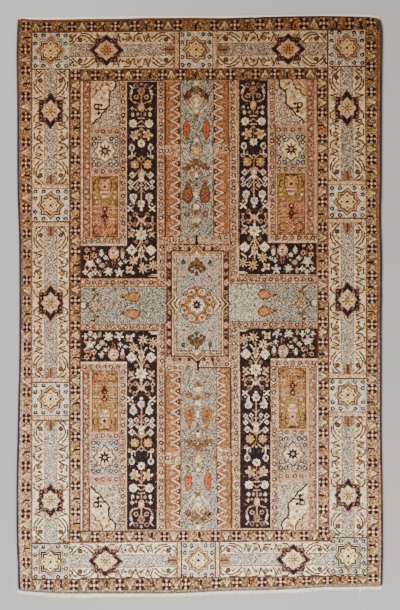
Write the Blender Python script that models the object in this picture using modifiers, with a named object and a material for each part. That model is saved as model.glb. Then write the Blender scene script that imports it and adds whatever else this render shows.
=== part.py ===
# Persian rug, lying flat. A slab of knotted pile has an overcast cord down each side and a flat-woven
# cotton web across each end, and the webs end in short cut fringe.
# Length runs along Y, width along X, and Z is up from the floor.

import math
import random
from collections import namedtuple

import bmesh
import bpy

MM = 0.001

# Driving sizes in metres.
PILE_LENGTH = 2.168
WHOLE_WIDTH = 1.380
PILE_THICKNESS = 0.0076
PILE_ROUNDING = 0.0018
CORD_THICKNESS = 0.0076
WEB_THICKNESS = 0.0024
GAP = 0.0003
OUTLINE_STEP = 0.034
SIDE_PARTS = 3

# How far the long edges wander, in mm: the place along the rug, then how far the left and the right edge lie
# outside the plain rectangle there.
Side = namedtuple("Side", "along left right")
SIDES = (
    Side(-1115, -3.8, 0.0),
    Side(-1060, -3.2, 1.2),
    Side(-986, -1.5, 3.0),
    Side(-891, 2.6, 3.6),
    Side(-797, 3.6, 3.4),
    Side(-645, 3.0, 1.6),
    Side(-513, 0.0, -1.0),
    Side(-324, -3.8, -1.1),
    Side(-230, -6.4, -1.1),
    Side(0, -7.2, -1.1),
    Side(148, -6.8, 0.8),
    Side(245, -6.0, -1.0),
    Side(337, -3.0, -3.8),
    Side(432, 0.4, -1.1),
    Side(715, 1.1, -0.4),
    Side(925, 3.8, 1.4),
    Side(1035, 2.0, 2.4),
    Side(1060, 0.5, -0.6),
    Side(1078, -2.0, -6.0),
    Side(1105, -4.0, -13.0),
)

# The two ends, in mm: the place across the rug, how far each end of the pile lies outside the plain rectangle,
# and the depth of the web and the length of the fringe beyond it.
End = namedtuple("End", "across top_pile top_web top_lock bottom_pile bottom_web bottom_lock")
ENDS = (
    End(-700, 0.5, 4.0, 0.0, -2.0, 8.0, 4.5),
    End(-640, -6.6, 8.0, 0.0, 3.5, 8.0, 5.0),
    End(-545, -7.2, 8.0, 0.0, 9.5, 10.0, 8.0),
    End(-450, -5.7, 9.0, 0.0, 10.5, 10.0, 7.5),
    End(-300, -4.5, 9.0, 0.0, 10.6, 8.5, 5.5),
    End(-225, -1.9, 9.0, 0.0, 10.5, 8.0, 5.0),
    End(-110, -1.1, 8.5, 0.0, 10.2, 8.0, 5.0),
    End(-35, -0.6, 8.5, 0.0, 7.6, 8.0, 5.0),
    End(95, -1.9, 8.5, 0.0, 1.1, 8.5, 5.0),
    End(210, 1.9, 7.0, 0.0, -1.1, 9.0, 5.5),
    End(300, 4.2, 6.2, 0.0, -3.8, 8.0, 5.0),
    End(380, 5.7, 6.0, 0.0, -7.6, 9.0, 6.0),
    End(455, 6.3, 6.5, 0.0, -13.6, 8.5, 5.0),
    End(530, 5.6, 7.0, 1.6, -14.4, 8.0, 4.5),
    End(590, 4.0, 8.0, 2.4, -15.0, 6.0, 2.8),
    End(640, 2.2, 8.0, 2.0, -15.8, 7.0, 3.6),
    End(700, -4.5, 6.0, 1.5, -17.0, 8.0, 4.5),
)

# Fringe: the locks stand at this pitch, and each one's own width, length and lean vary a little.
Fringe = namedtuple("Fringe", "pitch width narrows longer lean seed first last")
BOTTOM_FRINGE = Fringe(5.7 * MM, 3.7 * MM, 0.62, 0.38, 0.9 * MM, 11, -0.683, 0.687)
TOP_FRINGE = Fringe(6.2 * MM, 3.6 * MM, 0.60, 0.30, 0.7 * MM, 5, 0.540, 0.676)

# Stray threads longer than their neighbours: where the root is, the first heading in degrees, the whole turn
# and the share of the length in which the thread makes it.
Stray = namedtuple("Stray", "across length width heading turn turned_by")
LOOSE_END = Stray(0.6085, 0.034, 0.0019, -110.0, 26.0, 1.0)
CORNER_END = Stray(-0.6935, 0.062, 0.0026, 155.0, -68.0, 0.16)
THREAD_STEPS = 10

COLOURS = {
    "pile": ((0.20, 0.11, 0.07), 0.95),
    "cord": ((0.035, 0.018, 0.025), 0.80),
    "cotton": ((0.66, 0.56, 0.45), 0.90),
}


def eased(rows, place, column, at):
    # Reads one column of a table, in metres, on a smooth curve through its rows.
    at /= MM
    last = len(rows) - 1
    k = max(i for i in range(last) if i == 0 or getattr(rows[i], place) <= at)
    spot = [getattr(rows[min(max(k + i, 0), last)], place) for i in (-1, 0, 1, 2)]
    size = [getattr(rows[min(max(k + i, 0), last)], column) for i in (-1, 0, 1, 2)]
    span = spot[2] - spot[1]
    before = (size[2] - size[0]) / (spot[2] - spot[0]) * span
    after = (size[3] - size[1]) / (spot[3] - spot[1]) * span
    t = min(max((at - spot[1]) / span, 0.0), 1.0)
    value = (
        (2 * t**3 - 3 * t**2 + 1) * size[1]
        + (t**3 - 2 * t**2 + t) * before
        + (3 * t**2 - 2 * t**3) * size[2]
        + (t**3 - t**2) * after
    )
    return value * MM


def side_x(hand, y, inset=0.0):
    # The rug's outer edge on one side, or a line that lies further in.
    column = "left" if hand < 0 else "right"
    return hand * (WHOLE_WIDTH / 2 + eased(SIDES, "along", column, y) - inset)


def end_y(end, x, beyond=0.0):
    # The edge of the pile at one end, or a line that lies further out.
    column = "bottom_pile" if end < 0 else "top_pile"
    return end * (PILE_LENGTH / 2 + eased(ENDS, "across", column, x) + beyond)


def web_depth(end, x):
    return eased(ENDS, "across", "bottom_web" if end < 0 else "top_web", x)


def lock_length(end, x):
    return eased(ENDS, "across", "bottom_lock" if end < 0 else "top_lock", x)


def steps_between(start, stop, step):
    count = max(1, round(abs(stop - start) / step))
    return [start + (stop - start) * i / count for i in range(count + 1)]


def side_places(low, high):
    # The pile's edge and the cord beside it bend at the same places, so the gap between them stays even.
    rows = [row.along * MM for row in SIDES]
    spots = [a + (b - a) * i / SIDE_PARTS for a, b in zip(rows, rows[1:]) for i in range(SIDE_PARTS)]
    return [low] + [y for y in spots if low + MM < y < high - MM] + [high]


def new_material(name, colour, roughness):
    material = bpy.data.materials.new(name)
    material.use_nodes = True
    shader = material.node_tree.nodes["Principled BSDF"]
    shader.inputs["Base Color"].default_value = (*colour, 1.0)
    shader.inputs["Roughness"].default_value = roughness
    shader.inputs["Metallic"].default_value = 0.0
    return material


def flat_piece(name, outline, thickness, material, parent, collection):
    # A flat outline of one thickness, resting on the floor.
    mesh = bpy.data.meshes.new(name)
    shape = bmesh.new()
    shape.faces.new([shape.verts.new((x, y, 0.0)) for x, y in outline])
    bmesh.ops.recalc_face_normals(shape, faces=shape.faces)
    if next(iter(shape.faces)).normal.z < 0:
        bmesh.ops.reverse_faces(shape, faces=shape.faces)
    shape.to_mesh(mesh)
    shape.free()
    mesh.materials.append(material)
    obj = bpy.data.objects.new(name, mesh)
    obj.parent = parent
    collection.objects.link(obj)
    thicken = obj.modifiers.new("Solidify", "SOLIDIFY")
    thicken.thickness = thickness
    thicken.offset = 1.0
    return obj


def pile_outline():
    inset = CORD_THICKNESS + GAP
    half = WHOLE_WIDTH / 2 - inset
    corner = {(hand, end): end_y(end, hand * half) for hand in (-1, 1) for end in (-1, 1)}
    points = [
        (side_x(1, y, inset), y)
        for y in side_places(corner[1, -1], corner[1, 1])
    ]
    for end, hand in ((1, -1), (-1, 1)):
        # Across one end, then along the side that starts there.
        across = steps_between(
            side_x(-hand, corner[-hand, end], inset),
            side_x(hand, corner[hand, end], inset),
            OUTLINE_STEP,
        )
        points += [(x, end_y(end, x)) for x in across[1:-1]]
        if end > 0:
            along = side_places(corner[-1, -1], corner[-1, 1])
            points += [(side_x(-1, y, inset), y) for y in reversed(along)]
    return points


def make_pile(material, parent, collection):
    pile = flat_piece("rug_pile", pile_outline(), PILE_THICKNESS, material, parent, collection)
    rounding = pile.modifiers.new("Bevel", "BEVEL")
    rounding.width = PILE_ROUNDING
    rounding.segments = 2
    rounding.limit_method = "ANGLE"
    rounding.angle_limit = math.radians(60)


def make_cord(name, hand, material, parent, collection):
    # The overcast cord stops just short of both webs.
    middle = WHOLE_WIDTH / 2 - CORD_THICKNESS / 2
    banks = (middle - CORD_THICKNESS / 2, middle + CORD_THICKNESS / 2)
    ends = {end: min(end * end_y(end, hand * x) for x in banks) for end in (-1, 1)}
    for end, reach in ends.items():
        # A leaning end cuts its cord square, so one corner of it stands out further.
        lean = side_x(hand, end * (reach + MM)) - side_x(hand, end * (reach - MM))
        ends[end] = end * (reach - abs(lean) / (2 * MM) * CORD_THICKNESS / 2)
    places = side_places(ends[-1], ends[1])
    curve = bpy.data.curves.new(name, "CURVE")
    curve.dimensions = "3D"
    curve.bevel_depth = CORD_THICKNESS / 2
    curve.bevel_resolution = 4
    curve.use_fill_caps = True
    route = curve.splines.new("POLY")
    route.points.add(len(places) - 1)
    for spot, y in zip(route.points, places):
        spot.co = (side_x(hand, y, CORD_THICKNESS / 2), y, 0.0, 1.0)
    curve.materials.append(material)
    cord = bpy.data.objects.new(name, curve)
    cord.parent = parent
    cord.location.z = CORD_THICKNESS / 2
    collection.objects.link(cord)


def thread(root, stray, tip_share=0.6):
    # One bank of a thread out to its tip and the other bank back, with the root on the web's edge.
    x, y = root
    left, right = [], []
    stride = stray.length / THREAD_STEPS
    for k in range(THREAD_STEPS + 1):
        share = k / THREAD_STEPS
        way = math.radians(stray.heading + stray.turn * min(1.0, share / stray.turned_by))
        half = stray.width / 2 * (1 - (1 - tip_share) * share)
        left.append((x - half * math.sin(way), y + half * math.cos(way)))
        right.append((x + half * math.sin(way), y - half * math.cos(way)))
        x += stride * math.cos(way)
        y += stride * math.sin(way)
    return left, right


def fringe_edge(end, fringe, left_end, right_end):
    # The web's outer edge from left to right, with each lock as a finger in the outline.
    shuffle = random.Random(fringe.seed)
    edge = []
    count = int((fringe.last - fringe.first) / fringe.pitch)
    starts = [x for x in steps_between(left_end, fringe.first, OUTLINE_STEP) if x < fringe.first - MM]
    edge += [(x, end_y(end, x, GAP + web_depth(end, x))) for x in starts]
    for i in range(count + 1):
        x = fringe.first + i * fringe.pitch
        half = fringe.width / 2 * (1 + 0.16 * shuffle.uniform(-1, 1))
        length = lock_length(end, x) * (1 + fringe.longer * shuffle.uniform(-1, 1))
        lean = fringe.lean * (math.sin(i * 0.37) + 0.5 * shuffle.uniform(-1, 1))
        past_loose = (x - LOOSE_END.across) / fringe.pitch
        if end < 0 and -1.5 < past_loose < -0.5:
            continue
        if end < 0 and abs(past_loose) <= 0.5:
            root = (x, end_y(end, x, GAP + web_depth(end, x)))
            bank, back = thread(root, LOOSE_END)
            # Seen from above, the thread's right bank comes first on the way from left to right.
            edge += back + bank[::-1]
            continue
        root_y = [end_y(end, at, GAP + web_depth(end, at)) for at in (x - half, x + half)]
        tip = half * fringe.narrows
        slant = 0.18 * length * shuffle.uniform(-1, 1)
        edge += [
            (x - half, root_y[0]),
            (x - tip + lean, root_y[0] + end * (length + slant)),
            (x + tip + lean, root_y[1] + end * (length - slant)),
            (x + half, root_y[1]),
        ]
    stops = [x for x in steps_between(fringe.last, right_end, OUTLINE_STEP) if x > fringe.last + MM]
    edge += [(x, end_y(end, x, GAP + web_depth(end, x))) for x in stops]
    return edge


def make_web(name, end, fringe, material, parent, collection):
    left_end = side_x(-1, end_y(end, -WHOLE_WIDTH / 2), 0.0)
    right_end = side_x(1, end_y(end, WHOLE_WIDTH / 2), 0.0)
    inner = [(x, end_y(end, x, GAP)) for x in steps_between(right_end, left_end, OUTLINE_STEP)]
    corner = []
    if end < 0:
        # The corner's warp end leaves the web sideways and turns up beside the cord.
        root = (left_end, end_y(end, left_end, GAP + web_depth(end, left_end) / 2))
        bank, back = thread(root, CORNER_END)
        corner = back + bank[::-1]
    outline = inner + corner + fringe_edge(end, fringe, left_end, right_end)
    flat_piece(name, outline, WEB_THICKNESS, material, parent, collection)


def centre_on_origin(rug):
    # The origin is the middle of the whole rug's box, on the floor.
    bpy.context.view_layer.update()
    corners = [
        piece.matrix_world @ vertex.co
        for piece in rug.children
        for vertex in piece.to_mesh().vertices
    ]
    for piece in rug.children:
        piece.to_mesh_clear()
    rug.location.x = -(min(c.x for c in corners) + max(c.x for c in corners)) / 2
    rug.location.y = -(min(c.y for c in corners) + max(c.y for c in corners)) / 2


def build():
    for obj in list(bpy.data.objects):
        bpy.data.objects.remove(obj, do_unlink=True)
    collection = bpy.data.collections.new("persian rug")
    bpy.context.scene.collection.children.link(collection)
    rug = bpy.data.objects.new("rug", None)
    collection.objects.link(rug)
    materials = {name: new_material(name, *look) for name, look in COLOURS.items()}
    make_pile(materials["pile"], rug, collection)
    make_cord("selvedge_left", -1, materials["cord"], rug, collection)
    make_cord("selvedge_right", 1, materials["cord"], rug, collection)
    make_web("end_web_top", 1, TOP_FRINGE, materials["cotton"], rug, collection)
    make_web("end_web_bottom", -1, BOTTOM_FRINGE, materials["cotton"], rug, collection)
    centre_on_origin(rug)


build()
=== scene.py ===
import math

import bpy
import numpy as np
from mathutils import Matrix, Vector


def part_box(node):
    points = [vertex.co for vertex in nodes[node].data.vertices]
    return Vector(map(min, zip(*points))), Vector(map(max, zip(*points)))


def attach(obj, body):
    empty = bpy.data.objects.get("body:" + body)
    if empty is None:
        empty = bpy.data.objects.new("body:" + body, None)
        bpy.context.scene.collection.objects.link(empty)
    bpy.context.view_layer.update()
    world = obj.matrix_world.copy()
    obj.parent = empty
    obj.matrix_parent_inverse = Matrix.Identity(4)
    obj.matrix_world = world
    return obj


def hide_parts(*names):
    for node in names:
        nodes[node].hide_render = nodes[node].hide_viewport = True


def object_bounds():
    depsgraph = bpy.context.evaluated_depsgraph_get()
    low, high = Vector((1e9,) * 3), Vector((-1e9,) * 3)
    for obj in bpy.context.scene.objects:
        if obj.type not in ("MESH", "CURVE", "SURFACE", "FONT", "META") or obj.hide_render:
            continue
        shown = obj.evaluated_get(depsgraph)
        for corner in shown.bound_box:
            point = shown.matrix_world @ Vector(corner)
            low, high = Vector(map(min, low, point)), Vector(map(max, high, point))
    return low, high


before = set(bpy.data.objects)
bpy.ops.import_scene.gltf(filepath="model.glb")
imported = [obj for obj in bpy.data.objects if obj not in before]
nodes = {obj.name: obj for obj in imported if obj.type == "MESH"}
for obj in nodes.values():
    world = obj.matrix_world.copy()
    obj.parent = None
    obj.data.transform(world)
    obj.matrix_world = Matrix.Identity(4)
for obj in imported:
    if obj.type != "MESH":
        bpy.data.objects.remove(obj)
cadBox = [list(corner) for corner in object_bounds()]
scene = bpy.context.scene
print("frame loaded, CAD box", cadBox)

# The pattern is charted knot by knot, as a weaver's cartoon is

dyes = {  # yarn: its colour in daylight where the rug is palest, 0 to 255
    "ink": (38, 26, 25), "night": (36, 31, 39), "maroon": (72, 38, 33), "umber": (86, 58, 40),
    "brown": (124, 86, 60), "clay": (156, 116, 86), "rust": (166, 102, 74), "ember": (188, 96, 66),
    "orange": (206, 136, 92), "ochre": (168, 126, 76), "gold": (198, 158, 98), "straw": (234, 206, 148),
    "olive": (124, 106, 68), "moss": (90, 86, 68), "tan": (210, 174, 134), "sand": (230, 200, 160),
    "cream": (255, 237, 208), "ivory": (255, 249, 238), "salmon": (222, 170, 142), "pink": (236, 200, 172),
    "rose": (194, 156, 130), "mauve": (156, 120, 106), "pearl": (228, 215, 198), "mist": (186, 196, 192),
    "stone": (158, 144, 128), "slate": (92, 82, 74),
}
codes = {name: k for k, name in enumerate(dyes)}
rug = dict(left=19.4, top=18.2, right=379.6, bottom=591, knot=0.73)  # in steps of the chart
field = dict(top=80, tall=450)
quarters = {"topLeft": (1, 1), "bottomLeft": (1, -1), "topRight": (-1, 1), "bottomRight": (-1, -1)}

# Where the field's main lines lie: as one quarter is charted, then as each quarter was knotted
lineColumns = ("charted", *quarters)
acrossLines = np.array([
    (81, 81, 80.6, 315.6, 318.6), (91, 91, 90.4, 305.8, 308.4),
    (119, 119, 118.6, 275.8, 278.4), (127, 127, 126.8, 268, 271),
    (156.7, 156.7, 157.2, 236.8, 242.2), (165, 165, 165.4, 228, 231.8),
    (179, 179, 180, 213.6, 217.6), (197, 196.3, 198.6, 196.3, 198.6),
])
alongLines = np.array([
    (80.6, 80.6, 530.2, 79.8, 529.3), (127, 127, 484.6, 124.6, 481.2),
    (134.6, 134.6, 475.6, 133.4, 472.4), (167.2, 167.2, 439.6, 164.8, 435.6),
    (176, 176, 431.6, 173, 429), (203, 203, 405, 200, 398),
    (237.2, 237.2, 371.2, 233.4, 367.4), (245.8, 245.8, 361.6, 242.8, 358.2),
    (277.8, 277.8, 330.6, 274.6, 328), (287, 287, 323.6, 284.4, 321),
    (305.2, 305.2, 305.4, 303.2, 303.2),
])
# Where each side's outer edge starts, and over how many steps it drifts by one
borderSides = dict(start=20, top=20.2, topRise=144, bottom=592.5, bottomRise=85, bottomNarrows=9000,
                   left=20, right=377.4, rightLean=330, longest=16, piece=14)
water = dict(
    pitch=2.35, light=0.44, dark=0.66,  # from line to line: pale up to light, dark from dark on
    round=0.5, square=0.42, bends=((0.9, 0.43), (1.4, 0.33), (0.5, 0.61)),  # how its rings run and waver
)


class Chart:
    def __init__(self, left, top, right, bottom, knot):
        self.columns, self.rows = round((right - left) / knot), round((bottom - top) / knot)
        self.x = left + (np.arange(self.columns) + 0.5) * (right - left) / self.columns
        self.y = top + (np.arange(self.rows) + 0.5) * (bottom - top) / self.rows
        self.yarn = np.full((self.rows, self.columns), codes["rose"], np.int16)
        self.straight()

    def straight(self):
        self.at, self.turn, self.slanting = lambda x, y: (x, y), ((1, 0), (0, 1)), False

    def inQuarter(self, name):
        handX, handY = quarters[name]
        self.atFoot, self.onRight = handY < 0, handX < 0
        column = lineColumns.index(name)
        side = "Right" if self.onRight else "Left"
        upper, lower = (lineColumns.index(end + side) for end in ("top", "bottom"))

        def at(x, y):
            down = np.interp(y, alongLines[:, 0], alongLines[:, column])
            share = (down - field["top"]) / field["tall"]
            atTop, atBottom = (np.interp(x, acrossLines[:, 0], acrossLines[:, k]) for k in (upper, lower))
            return atTop * (1 - share) + atBottom * share, down
        self.at, self.turn = at, ((handX, 0), (0, handY))

    def onSide(self, name):
        # Along the border, then across it from the outer edge in
        edge = borderSides
        self.slanting = True
        self.at, self.turn = {
            "top": (lambda s, t: (s, edge["top"] + t - (s - edge["start"]) / edge["topRise"]),
                    ((1, 0), (0, 1))),
            "bottom": (lambda s, t: (s, edge["bottom"] - (s - edge["start"]) / edge["bottomRise"]
                                     - t * (1 - (s - edge["start"]) / edge["bottomNarrows"])),
                       ((1, 0), (0, -1))),
            "left": (lambda s, t: (edge["left"] + t, s), ((0, 1), (1, 0))),
            "right": (lambda s, t: (edge["right"] + (s - edge["start"]) / edge["rightLean"] - t, s),
                      ((0, 1), (-1, 0))),
        }[name]

    def inPieces(self, left, right):
        # A long run on a slanting side is drawn as short level ones
        cuts = np.linspace(left, right, max(1, math.ceil((right - left) / borderSides["piece"])) + 1)
        return zip(cuts, cuts[1:])

    def tooLong(self, left, right):
        return self.slanting and right - left > borderSides["longest"]

    def window(self, x, y, toX, toY):
        first, last = np.searchsorted(self.x, sorted((x, toX)))
        high, low = np.searchsorted(self.y, sorted((y, toY)))
        return slice(high, low), slice(first, last)

    def paint(self, window, x, y, startX, startY, yarn, inside):
        # Where inside holds for the knots' places, as the figure counts them from the spot (x, y)
        rows, columns = window
        across, down = self.x[None, columns] - x, self.y[rows, None] - y
        (ax, ay), (bx, by) = self.turn
        area = self.yarn[window]
        if area.size:
            area[inside(startX + ax * across + ay * down, startY + bx * across + by * down)] = codes[yarn]

    def fill(self, left, top, right, bottom, yarn, inside=None):
        if self.tooLong(left, right):
            for start, stop in self.inPieces(left, right):
                self.fill(start, top, stop, bottom, yarn, inside)
            return
        x, y = self.at(left, top)
        window = self.window(x, y, *self.at(right, bottom))
        if inside is None:
            self.yarn[window] = codes[yarn]
        else:
            self.paint(window, x, y, left, top, yarn, inside)

    def fillStraight(self, *where):
        kept = self.at, self.turn, self.slanting
        self.straight()
        self.fill(*where)
        self.at, self.turn, self.slanting = kept

    def around(self, x, y, reach, yarn, inside):
        x, y = self.at(x, y)
        window = self.window(x - reach, y - reach, x + reach, y + reach)
        self.paint(window, x, y, 0, 0, yarn, inside)

    def disc(self, x, y, r, yarn, tall=1):
        self.around(x, y, r * max(tall, 1) + 1, yarn, lambda a, b: a * a + (b / tall) ** 2 < r * r)

    def diamond(self, x, y, r, yarn, tall=1):
        self.around(x, y, r * max(tall, 1) + 1, yarn, lambda a, b: abs(a) + abs(b) / tall < r)

    def box(self, x, y, r, yarn, tall=1):
        self.around(x, y, r * max(tall, 1) + 1, yarn, lambda a, b: np.maximum(abs(a), abs(b) / tall) < r)

    def petals(self, x, y, r, yarn, count=8, notch=0.2, turn=0):
        def inside(a, b):
            wave = 1 - notch + notch * np.cos(count * (np.arctan2(a, -b) - turn))
            return np.hypot(a, b) < r * wave
        self.around(x, y, r + 1, yarn, inside)

    def star(self, x, y, tip, side, yarn, long=1, tall=1, deep=1):
        # A square with a diamond laid over it
        self.around(x, y, max(tip * max(long, tall), side * deep) + 1, yarn, lambda a, b: (
            (abs(a) / long + abs(b) / tall < tip) | (np.maximum(abs(a), abs(b) / deep) < side)))

    def almond(self, x, y, r, yarn, tall=3):
        self.around(x, y, r * tall + 1, yarn, lambda a, b: abs(a) / r + (b / (r * tall)) ** 2 < 1)

    def drop(self, x, y, r, yarn, tall=2, hand=1):
        # A cypress or a teardrop: the tip up, or down where hand is -1
        lean, reach = 0.9, r * tall
        self.around(x, y, reach + 1, yarn, lambda a, b: (
            (a / r) ** 2 < (1 - (b / reach) ** 2).clip(0) * (1 + lean * hand * b / reach) / (1 + lean)))

    def line(self, points, width, yarn):
        spots = [self.at(x, y) for x, y in points]
        for (x, y), (toX, toY) in zip(spots, spots[1:]):
            run, rise = toX - x, toY - y
            size = run * run + rise * rise or 1e-9

            def inside(a, b):
                t = np.clip(((a - x) * run + (b - y) * rise) / size, 0, 1)
                return np.hypot(a - x - t * run, b - y - t * rise) < width / 2
            reach = width / 2 + 0.1
            self.fillStraight(min(x, toX) - reach, min(y, toY) - reach,
                              max(x, toX) + reach, max(y, toY) + reach, yarn, inside)

    def rules(self, rows, fromX=0, fromY=0):
        # Rows of (x, y, toX, toY, width, yarn): straight lines, counted from the spot
        for x, y, toX, toY, width, yarn in rows:
            self.line([(fromX + x, fromY + y), (fromX + toX, fromY + toY)], width, yarn)

    def frame(self, left, top, right, bottom, width, yarn):
        self.line([(left, top), (right, top), (right, bottom), (left, bottom), (left, top)], width, yarn)

    def shape(self, points, yarn):
        spots = [self.at(x, y) for x, y in points]
        across, down = zip(*spots)

        def inside(a, b):
            a, b = np.broadcast_arrays(a, b)
            odd = np.zeros(a.shape, bool)
            for (x, y), (toX, toY) in zip(spots, spots[1:] + spots[:1]):
                if y != toY:
                    odd ^= ((y > b) != (toY > b)) & (a < (toX - x) * (b - y) / (toY - y) + x)
            return odd
        self.fillStraight(min(across), min(down), max(across), max(down), yarn, inside)

    def ring(self, x, y, r, yarn, heart, core=0.52):
        self.disc(x, y, r, yarn)
        self.disc(x, y, r * core, heart)

    def flower(self, x, y, r, yarn, heart, count=8, notch=0.15, core=0.36, turn=0):
        self.petals(x, y, r, yarn, count, notch, turn)
        self.disc(x, y, r * core, heart)

    def pip(self, x, y, r, yarn, heart, core=0.45):
        self.diamond(x, y, r, yarn)
        self.diamond(x, y, r * core, heart)

    def speckle(self, left, top, right, bottom, yarn, share, seed, block=1):
        # Stray knots, or stray blocks of knots, of another yarn
        if self.tooLong(left, right):
            for k, (start, stop) in enumerate(self.inPieces(left, right)):
                self.speckle(start, top, stop, bottom, yarn, share, seed + 1000 * k, block)
            return
        area = self.yarn[self.window(*self.at(left, top), *self.at(right, bottom))]
        rows, columns = area.shape
        draw = np.random.default_rng(seed)
        lots = draw.random((rows // block + 1, columns // block + 1)) < share
        area[np.kron(lots, np.ones((block, block), bool))[:rows, :columns]] = codes[yarn]

    def mottle(self, area, seed, **shares):
        for k, (yarn, share) in enumerate(shares.items()):
            self.speckle(*area, yarn, share, seed + 20 * k)

    def ripple(self, left, top, right, bottom, hearts, light="mist"):
        # Water: fine lines that run round the hearts, crossing where two hearts' waves meet
        self.fill(left, top, right, bottom, "stone")
        (broad, alongA), (twist, alongB), (fine, closeB) = water["bends"]

        def wave(a, b):
            rings = [water["round"] * np.hypot(a - x, b - y) + water["square"] * (abs(a - x) + abs(b - y))
                     for x, y in hearts]
            bend = broad * np.sin(a * alongA + twist * np.sin(b * alongB)) + fine * np.sin(b * closeB)
            return ((np.min(rings, axis=0) + bend) / water["pitch"]) % 1
        self.fill(left, top, right, bottom, light, lambda a, b: wave(a, b) < water["light"])
        self.fill(left, top, right, bottom, "slate", lambda a, b: wave(a, b) > water["dark"])

    def read(self, row):
        # A row starts with its figure's name, or without one if it is a disc
        name, *values = row if isinstance(row[0], str) else ("disc", *row)
        return getattr(self, name), *values

    def draw(self, rows, fromX=0, fromY=0):
        # Rows of (figure, x, y, size, yarn, more), counted from the spot
        for row in rows:
            figure, x, y, *rest = self.read(row)
            figure(fromX + x, fromY + y, *rest)

    def scatter(self, axis, rows, down=float, scale=1):
        # Rows of (figure, distance from the axis, place along it, size, yarn, more): one on each side
        for row in rows:
            figure, off, along, size, *rest = self.read(row)
            for hand in (1,) if off == 0 else (-1, 1):
                figure(axis + hand * off, down(along), scale * size, *rest)

    def stems(self, axis, rows, down=float):
        # Rows of (width, yarn, points): each line and its mirror image
        for width, yarn, points in rows:
            for hand in (-1, 1):
                self.line([(axis + hand * off, down(along)) for off, along in points], width, yarn)


chart = Chart(**rug)

# The field: a quarter of it, drawn four times

plots = {  # each part of the quarter: left, top, right, bottom
    "garden stripe": (119.6, 80.6, 127, 245.8), "water stripe": (156.7, 80.6, 165, 306),
    "bed stripe": (81, 237.2, 127, 245.8), "lake stripe": (81, 277.8, 165, 287),
    "leafy strip": (81, 80.6, 91, 237.2), "leaves": (83.8, 80.6, 89.6, 237.2),
    "pale edge": (80.4, 80.6, 82.9, 237.2), "corner": (91, 80.6, 119.6, 127),
    "above the star": (91, 127, 119.6, 134.6), "star": (91, 134.6, 119.6, 167.8),
    "below the star": (91, 167.8, 119.6, 176), "ochre bed": (92, 176, 118.4, 206),
    "its foot": (92, 196, 118.4, 206), "rust bed": (92, 205, 118.4, 237.2),
    "tall panel": (127, 81.4, 156.7, 277.8), "wide panel": (81, 245.8, 156.7, 277.8),
    "wide panel's end": (81, 245.8, 127, 277.8),
}


def ringRow(c, places, along, down):
    # A line of small rings, one strong and one faint in turn
    for k, place in enumerate(places):
        size, yarn, heart = (1.9, "umber", "rose") if k % 2 else (2.15, "maroon", "pink")
        c.ring(*((along, place) if down else (place, along)), size, yarn, heart, 0.48)


def paintStripes(c):
    stripes = [plots[name + " stripe"] for name in ("garden", "water", "bed", "lake")]
    for k, area in enumerate(stripes):
        c.fill(*area, "rose")
        c.mottle(area, 3 + k, tan=0.32, mauve=0.15, brown=0.15, umber=0.1, cream=0.1)
    for left, _, right, bottom in stripes[:2]:
        c.rules([(x, 81, x, bottom - 1, 0.9, "brown") for x in (left + 0.4, right - 0.5)])
    c.rules([(81.6, 238, 119.6, 238, 1, "brown"), (81.4, 278.6, 157, 278.6, 0.9, "brown")])
    ringRow(c, np.arange(88.2, 240, 6.75), 123.2, True)
    ringRow(c, [83.6 + 6.72 * k for k in range(24)], 160.8, True)
    ringRow(c, [246.5, 254, 261.5, 268.5, 275.6, 283, 290.4, 298, 305.5], 161.8, True)
    ringRow(c, [84.6, 91.3, 98, 104.6, 111.3, 118], 241.2, False)
    ringRow(c, np.arange(87.8, 158, 6.3), 282.4, False)
    c.rules([(81.4, 244.9, 127, 244.9, 1.1, "cream"), (126.6, 81, 126.6, 245, 0.9, "pink"),
             (81.4, 286.2, 164, 286.2, 0.9, "brown"), (157.6, 81, 157.6, 277, 0.9, "pink")])


def paintLeafyStrip(c):
    left, top, right, bottom = plots["leafy strip"]
    paler = c.atFoot and c.onRight
    c.fill(left, top, right, bottom, "clay")
    c.mottle(plots["leafy strip"], 11, rust=0.3, mauve=0.24, maroon=0.1, brown=0.16, salmon=0.1)
    c.fill(*plots["pale edge"], "pink")
    c.speckle(*plots["pale edge"], "ivory" if c.atFoot else "salmon", 0.4, 12)
    c.fill(82.9, top, 83.7, bottom, "umber")
    c.fill(89.6, top, 90.4, bottom, "mauve" if paler else "maroon")
    for k, y in enumerate(np.arange(84.5, 234, 5.1)):
        way = (-1) ** k
        c.disc(86.7 + 0.7 * way, y, 1.3, "salmon" if k % 3 else "pink", 1.2)
        c.line([(85, y + 2.4), (88.4, y + 1.6 + way)], 0.9, "umber")
        c.disc(86.7 - 1.4 * way, y + 1, 0.8, "maroon")
    c.mottle(plots["leaves"], 14, rust=0.14, mauve=0.16, umber=0.06, rose=0.3 if paler else 0.06)
    c.fill(90.4, 124, 92, bottom, "tan")


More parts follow.
